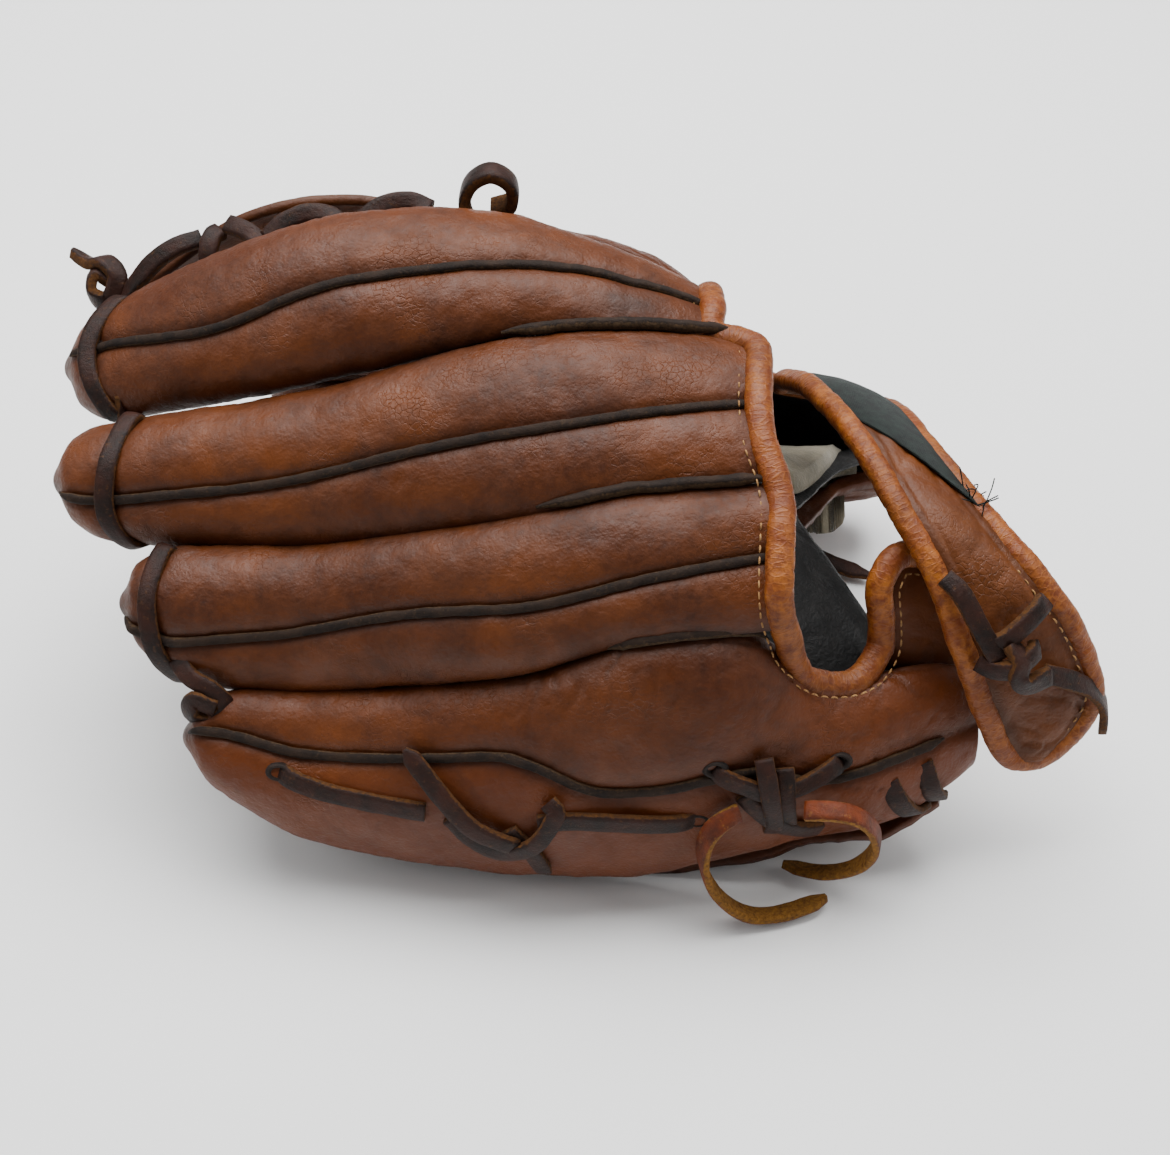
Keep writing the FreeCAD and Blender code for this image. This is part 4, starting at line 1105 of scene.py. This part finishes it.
def pinky_laces():
    """The lace through the little finger's edge with its knot, the heel's knot, and the wraps at the heel."""
    lacing("pinky_edge_lacing", [over("pinky", spots) for spots in (
        [(-84, 0.14, -1.5), (-80, 0.11, 0.8), (-72, 0.07, 1.3), (-62, 0.045, 1.4), (-52, 0.03, 1.4),
         (-43, 0.02, 1.5)],
        [(-12, -0.02, 1.8), (-3, -0.04, 1.3), (8, -0.09, 1.4), (20, -0.15, 1.3), (28, -0.19, 0.8),
         (32, -0.21, -1.5)],
    )], "pinky_edge_lace", "finger_side", 1.0)
    pieces = [ribbon("strand", over("pinky", spots), LACE, seed=seed, width=width, thick=thick, tips=tips)
              for spots, seed, width, thick, tips in (
        ([(-48, 0.42, 2.5), (-43, 0.28, 2.6), (-37, 0.12, 3.0), (-30, -0.02, 4.2), (-22, -0.10, 4.4),
          (-18, -0.14, 3.4)], 3.0, 2.7, 1.2, (3, 0)),
        ([(-36, 0.0, 1.6), (-30, -0.14, 2.0), (-22, -0.2, 3.2), (-13, -0.12, 4.6), (-7, 0.04, 3.6),
          (-9, 0.10, 1.8)], 4.0, 2.6, 1.2, (0, 0)),
        ([(-20, -0.06, 2.0), (-14, -0.22, 2.2), (-11, -0.36, 2.0), (-9, -0.42, 1.8)],
         5.0, 2.5, LACE_THICK, (0, 3)),
    )]
    joined("pinky_edge_lace_knot", pieces, "finger_side", "lace_leather", "pinky_edge_knot")
    lacing("heel_lace_knot", [over("pinky", spots) for spots in (
        [(36, 0.07, -1.0), (39, 0.03, 1.2), (45, -0.02, 2.4), (51, -0.06, 2.8), (56, -0.02, 2.4),
         (62, 0.06, 1.6), (69, 0.17, 1.2), (71, 0.2, -1.0)],
        [(49, 0.14, 1.6), (50, 0.06, 3.6), (51.5, -0.08, 4.8), (53, -0.24, 3.6), (53, -0.36, 1.6)],
        [(44, -0.08, 1.6), (49, -0.18, 3.0), (55, -0.28, 3.0), (62, -0.36, 2.2), (67, -0.40, 1.6)],
        [(55, 0.12, 1.6), (55.5, 0.02, 3.4), (56, -0.12, 4.0), (57, -0.26, 2.6)],
    )], "heel_knot", "finger_side", 10.0, width=2.6, thick=1.2)
    lacing("heel_edge_lacing", [over("pinky", spots) for spots in (
        [(86, -0.15, -1.0), (90, -0.4, 1.2), (95, -0.7, 1.4), (99, -0.98, 0.6)],
        [(96, -0.1, -1.0), (99, -0.4, 1.3), (102, -0.72, 1.4), (103.5, -0.98, 0.6)],
    )], "heel_edge_lace", "finger_side", 20.0, width=3.0, thick=1.2)


tips_and_knots()
web_laces()
pinky_laces()
lacing("strap_lacing", (
    [(97, -61, 97, 0, -0.7, 0.7), (101, -65, 95, 0.1, -0.8, 0.6), (106, -70, 88, 0.2, -0.9, 0.3),
     (112, -74, 79, 0.2, -0.95, 0.1)],
    [(108, -71, 81, 0.2, -0.9, 0.3), (113, -72, 84, 0.2, -0.9, 0.4), (118, -70, 88, 0.3, -0.8, 0.5),
     (122, -67, 91, 0.3, -0.8, 0.5), (124, -64, 91, 0, -0.6, 0.5)],
    [(107, -73, 77, 0.1, -1, 0.1), (111, -75.5, 76.5, 0.2, -1, 0.2), (116, -76.8, 78, 0.3, -0.9, 0.3),
     (121, -74, 81, 0.3, -0.9, 0.3), (122, -71.5, 81, 0.3, -0.9, 0.3)],
    [(115, -72.5, 83, 0.8, -0.5, 0.3), (117.5, -76.5, 80.5, 0.5, -0.9, 0.3), (117, -78.6, 76.5, 0.2, -1, 0),
     (120, -78, 73, 0.1, -1, 0.1), (127, -74, 72.3, 0.2, -0.9, 0.4)],
), "strap_lace", "strap", 30.0, width=2.7, thick=1.5)


# ------------------------------------------------------------------ free lace ends, on the CAD's routes
TAILS = {
    "heel_tail_left": [(43, -99.5, 45), (37, -102, 44), (33, -104, 36), (34, -106, 25), (39, -106.5, 14),
                       (47, -106, 5), (56, -104.5, 3), (64.5, -101.5, 3), (71, -98.5, 3.2)],
    "heel_tail_right": [(61, -99, 45), (68, -101, 48), (76, -101, 45), (81.5, -99.5, 36), (83, -98, 26),
                        (79.5, -96, 15), (73, -93, 7.5), (66, -90.5, 5), (59, -88, 5)],
    "strap_tail": [(126, -73, 72), (136, -71, 67), (144.5, -69, 59), (148.5, -68, 50), (149.5, -68, 41)],
    "pocket_tail": [(72, 46, 10), (79, 42, 6), (88, 38, 4), (100, 33, 3.4)],
}


def nurbs_line(points):
    """Points along the route's own NURBS spline, in mm in the drawing frame."""
    curve = bpy.data.curves.new("route", "CURVE")
    curve.dimensions = "3D"
    spline = curve.splines.new("NURBS")
    spline.points.add(len(points) - 1)
    for p, q in zip(spline.points, points):
        p.co = tuple((np.array(q, float) + SHIFT) / 1000) + (1.0,)
    spline.order_u = 3
    spline.use_endpoint_u = True
    spline.resolution_u = 24
    obj = bpy.data.objects.new("route", curve)
    bpy.context.scene.collection.objects.link(obj)
    bpy.context.view_layer.update()
    mesh = bpy.data.meshes.new_from_object(obj)
    line = np.array([v.co for v in mesh.vertices]) * 1000 - SHIFT
    bpy.data.objects.remove(obj)
    bpy.data.meshes.remove(mesh)
    bpy.data.curves.remove(curve)
    return line

def tail(name, body, ups, mat=LACE, tip=4):
    """A free lace end along its route. ups are its grain side's directions, evenly spaced."""
    line = nurbs_line(TAILS[name])
    s = run(line)
    up = sample(s, np.linspace(0, s[-1], len(ups)), ups)
    want = np.linspace(0, s[-1], max(8, int(s[-1] / 0.9)))
    rows = np.hstack([sample(want, s, line), sample(want, s, up)])
    obj = ribbon(name + "_lace", rows, mat, seed=s[-1], tips=(0, tip))
    placed(obj, body, "lace_leather", name)


tail("heel_tail_left", "finger_side", [
    (0, -1, 0.3), (-0.6, -0.5, 0.7), (-1, -0.2, 0.2), (-1, -0.1, -0.2), (-0.7, -0.2, -0.7), (0, -0.2, -1),
    (0, -0.3, -1), (0.2, -0.4, -1)], TAIL)
tail("heel_tail_right", "finger_side", [
    (0, -0.4, 1), (0, -0.3, 1), (0.8, -0.2, 0.6), (1, -0.2, 0), (0.9, -0.1, -0.4), (0.4, -0.2, -1),
    (0, -0.3, -1), (-0.3, -0.4, -1)], TAIL)
tail("strap_tail", "strap", [
    (0.1, -0.8, 0.6), (0.4, -0.6, 0.8), (0.8, -0.3, 0.6), (1, -0.2, 0.2), (1, -0.2, 0.1)])
tail("pocket_tail", "thumb_side", [(0, -0.3, 1), (0, -0.3, 1), (0, -0.2, 1)], tip=7)


# ------------------------------------------------------------------ stitching, frayed threads and lace holes
stitches("opening_stitches", beside(rim_path, rim_up, 5.4), rim_up, "finger_side")
row = beside(strap_path, strap_up, -4.6)[20:-20]
below = np.flatnonzero(row[:, 1] < -42.0)     # the part of the strap that its label leaves bare
stitches("strap_stitches", row[below], strap_up[20:-20][below], "strap", pitch=3.4, length=2.0, lift=1.2)


def frayed_threads():
    """Loose threads at the lower corner of the label's cut end."""
    rng = np.random.default_rng(7)
    pieces = []
    for _ in range(16):
        at = np.array((108.5, -33.0, 99.5)) + rng.normal(0, 1, 3) * (2.4, 3.2, 0.7)
        lead = np.array((0.35, 0.25, 0.9)) + rng.normal(0, 0.45, 3)
        bend = rng.normal(0, 1.6, 3)
        size = rng.uniform(2.5, 5.5)
        path = cubic([at + lead * size * reach + bend * curl
                      for reach, curl in ((0, 0), (0.4, 0.2), (0.8, 0.9), (1, 1.7))], step=0.4)
        ups = np.tile((0.3, 0.9, 0.2), (len(path), 1))
        pieces.append(sweep("thread", path, ups, round_profile(0.2, 0.2, 5), FRAY))
    joined("strap_label_frayed_threads", pieces, "strap", "label")


def hole(x, u, radius):
    """A sunk ring where a lace goes into the little finger's back, coloured dark as painted shade in the hole.
    """
    p, n = arch(PINKY, x, u)
    a = unit(np.cross(n, (1.0, 0, 0)))
    b = np.cross(n, a)
    verts = []
    for size, h in ((1.5, -0.4), (1.25, 0.75), (0.95, 0.85), (0.7, -0.1), (0.3, -0.7)):
        for t in np.linspace(0, 2 * np.pi, 18, endpoint=False):
            verts.append(p + n * h + (b * math.cos(t) * 1.35 + a * math.sin(t)) * radius * size)
    return make("hole", verts, tube_faces(5, 18), (HOLE_SHADE,))


frayed_threads()
holes = [hole(*spot) for spot in (
    (-84, 0.13, 1.9), (-42, 0.02, 1.8), (-13, -0.02, 1.8), (32, -0.21, 1.8), (36, 0.08, 1.9), (71, 0.2, 1.9))]
joined("lace_hole_shade_rings", holes, "finger_side", "glove_leather")
# ------------------------------------------------------------------ camera, light and floor
TARGET = Vector((0.0055, -0.0225, 0.064))
cam = bpy.data.cameras.new("camera")
cam.sensor_width = 36
cam.lens = 52.31
cam.clip_start, cam.clip_end = 0.01, 20
eye = bpy.data.objects.new("camera", cam)
down = math.radians(45)
eye.location = TARGET + Vector((0, -math.cos(down), math.sin(down))) * 0.5
eye.rotation_mode = "QUATERNION"
eye.rotation_quaternion = (TARGET - eye.location).to_track_quat("-Z", "Y")
bpy.context.scene.collection.objects.link(eye)
bpy.context.scene.camera = eye


def lamp(name, at, size, watts):
    """A soft box that faces the glove."""
    data = bpy.data.lights.new(name, "AREA")
    data.shape = "RECTANGLE"
    data.size, data.size_y = size
    data.energy = watts
    obj = bpy.data.objects.new(name, data)
    obj.location = at
    obj.rotation_mode = "QUATERNION"
    obj.rotation_quaternion = (TARGET - obj.location).to_track_quat("-Z", "Y")
    bpy.context.scene.collection.objects.link(obj)


lamp("softbox_top", Vector((-0.05, 0.40, 1.3)), (1.4, 1.2), 48.0)
lamp("softbox_left", Vector((-1.1, -0.1, 1.0)), (0.9, 0.9), 5.0)
lamp("softbox_right", Vector((1.1, -0.1, 1.0)), (0.9, 0.9), 6.0)

world = bpy.data.worlds.new("studio")
world.use_nodes = True
background = world.node_tree.nodes["Background"]
background.inputs["Color"].default_value = (0.86, 0.88, 0.90, 1)
background.inputs["Strength"].default_value = 0.32
bpy.context.scene.world = world

paper = bpy.data.materials.new("paper")
paper.use_nodes = True
paper.node_tree.nodes["Principled BSDF"].inputs["Base Color"].default_value = (0.90, 0.90, 0.895, 1)
paper.node_tree.nodes["Principled BSDF"].inputs["Roughness"].default_value = 0.9
mesh = bpy.data.meshes.new("floor")
mesh.from_pydata([(-4, -4, 0), (4, -4, 0), (4, 4, 0), (-4, 4, 0)], [], [(0, 1, 2, 3)])
mesh.materials.append(paper)
floor = bpy.data.objects.new("floor", mesh)
bpy.context.scene.collection.objects.link(floor)
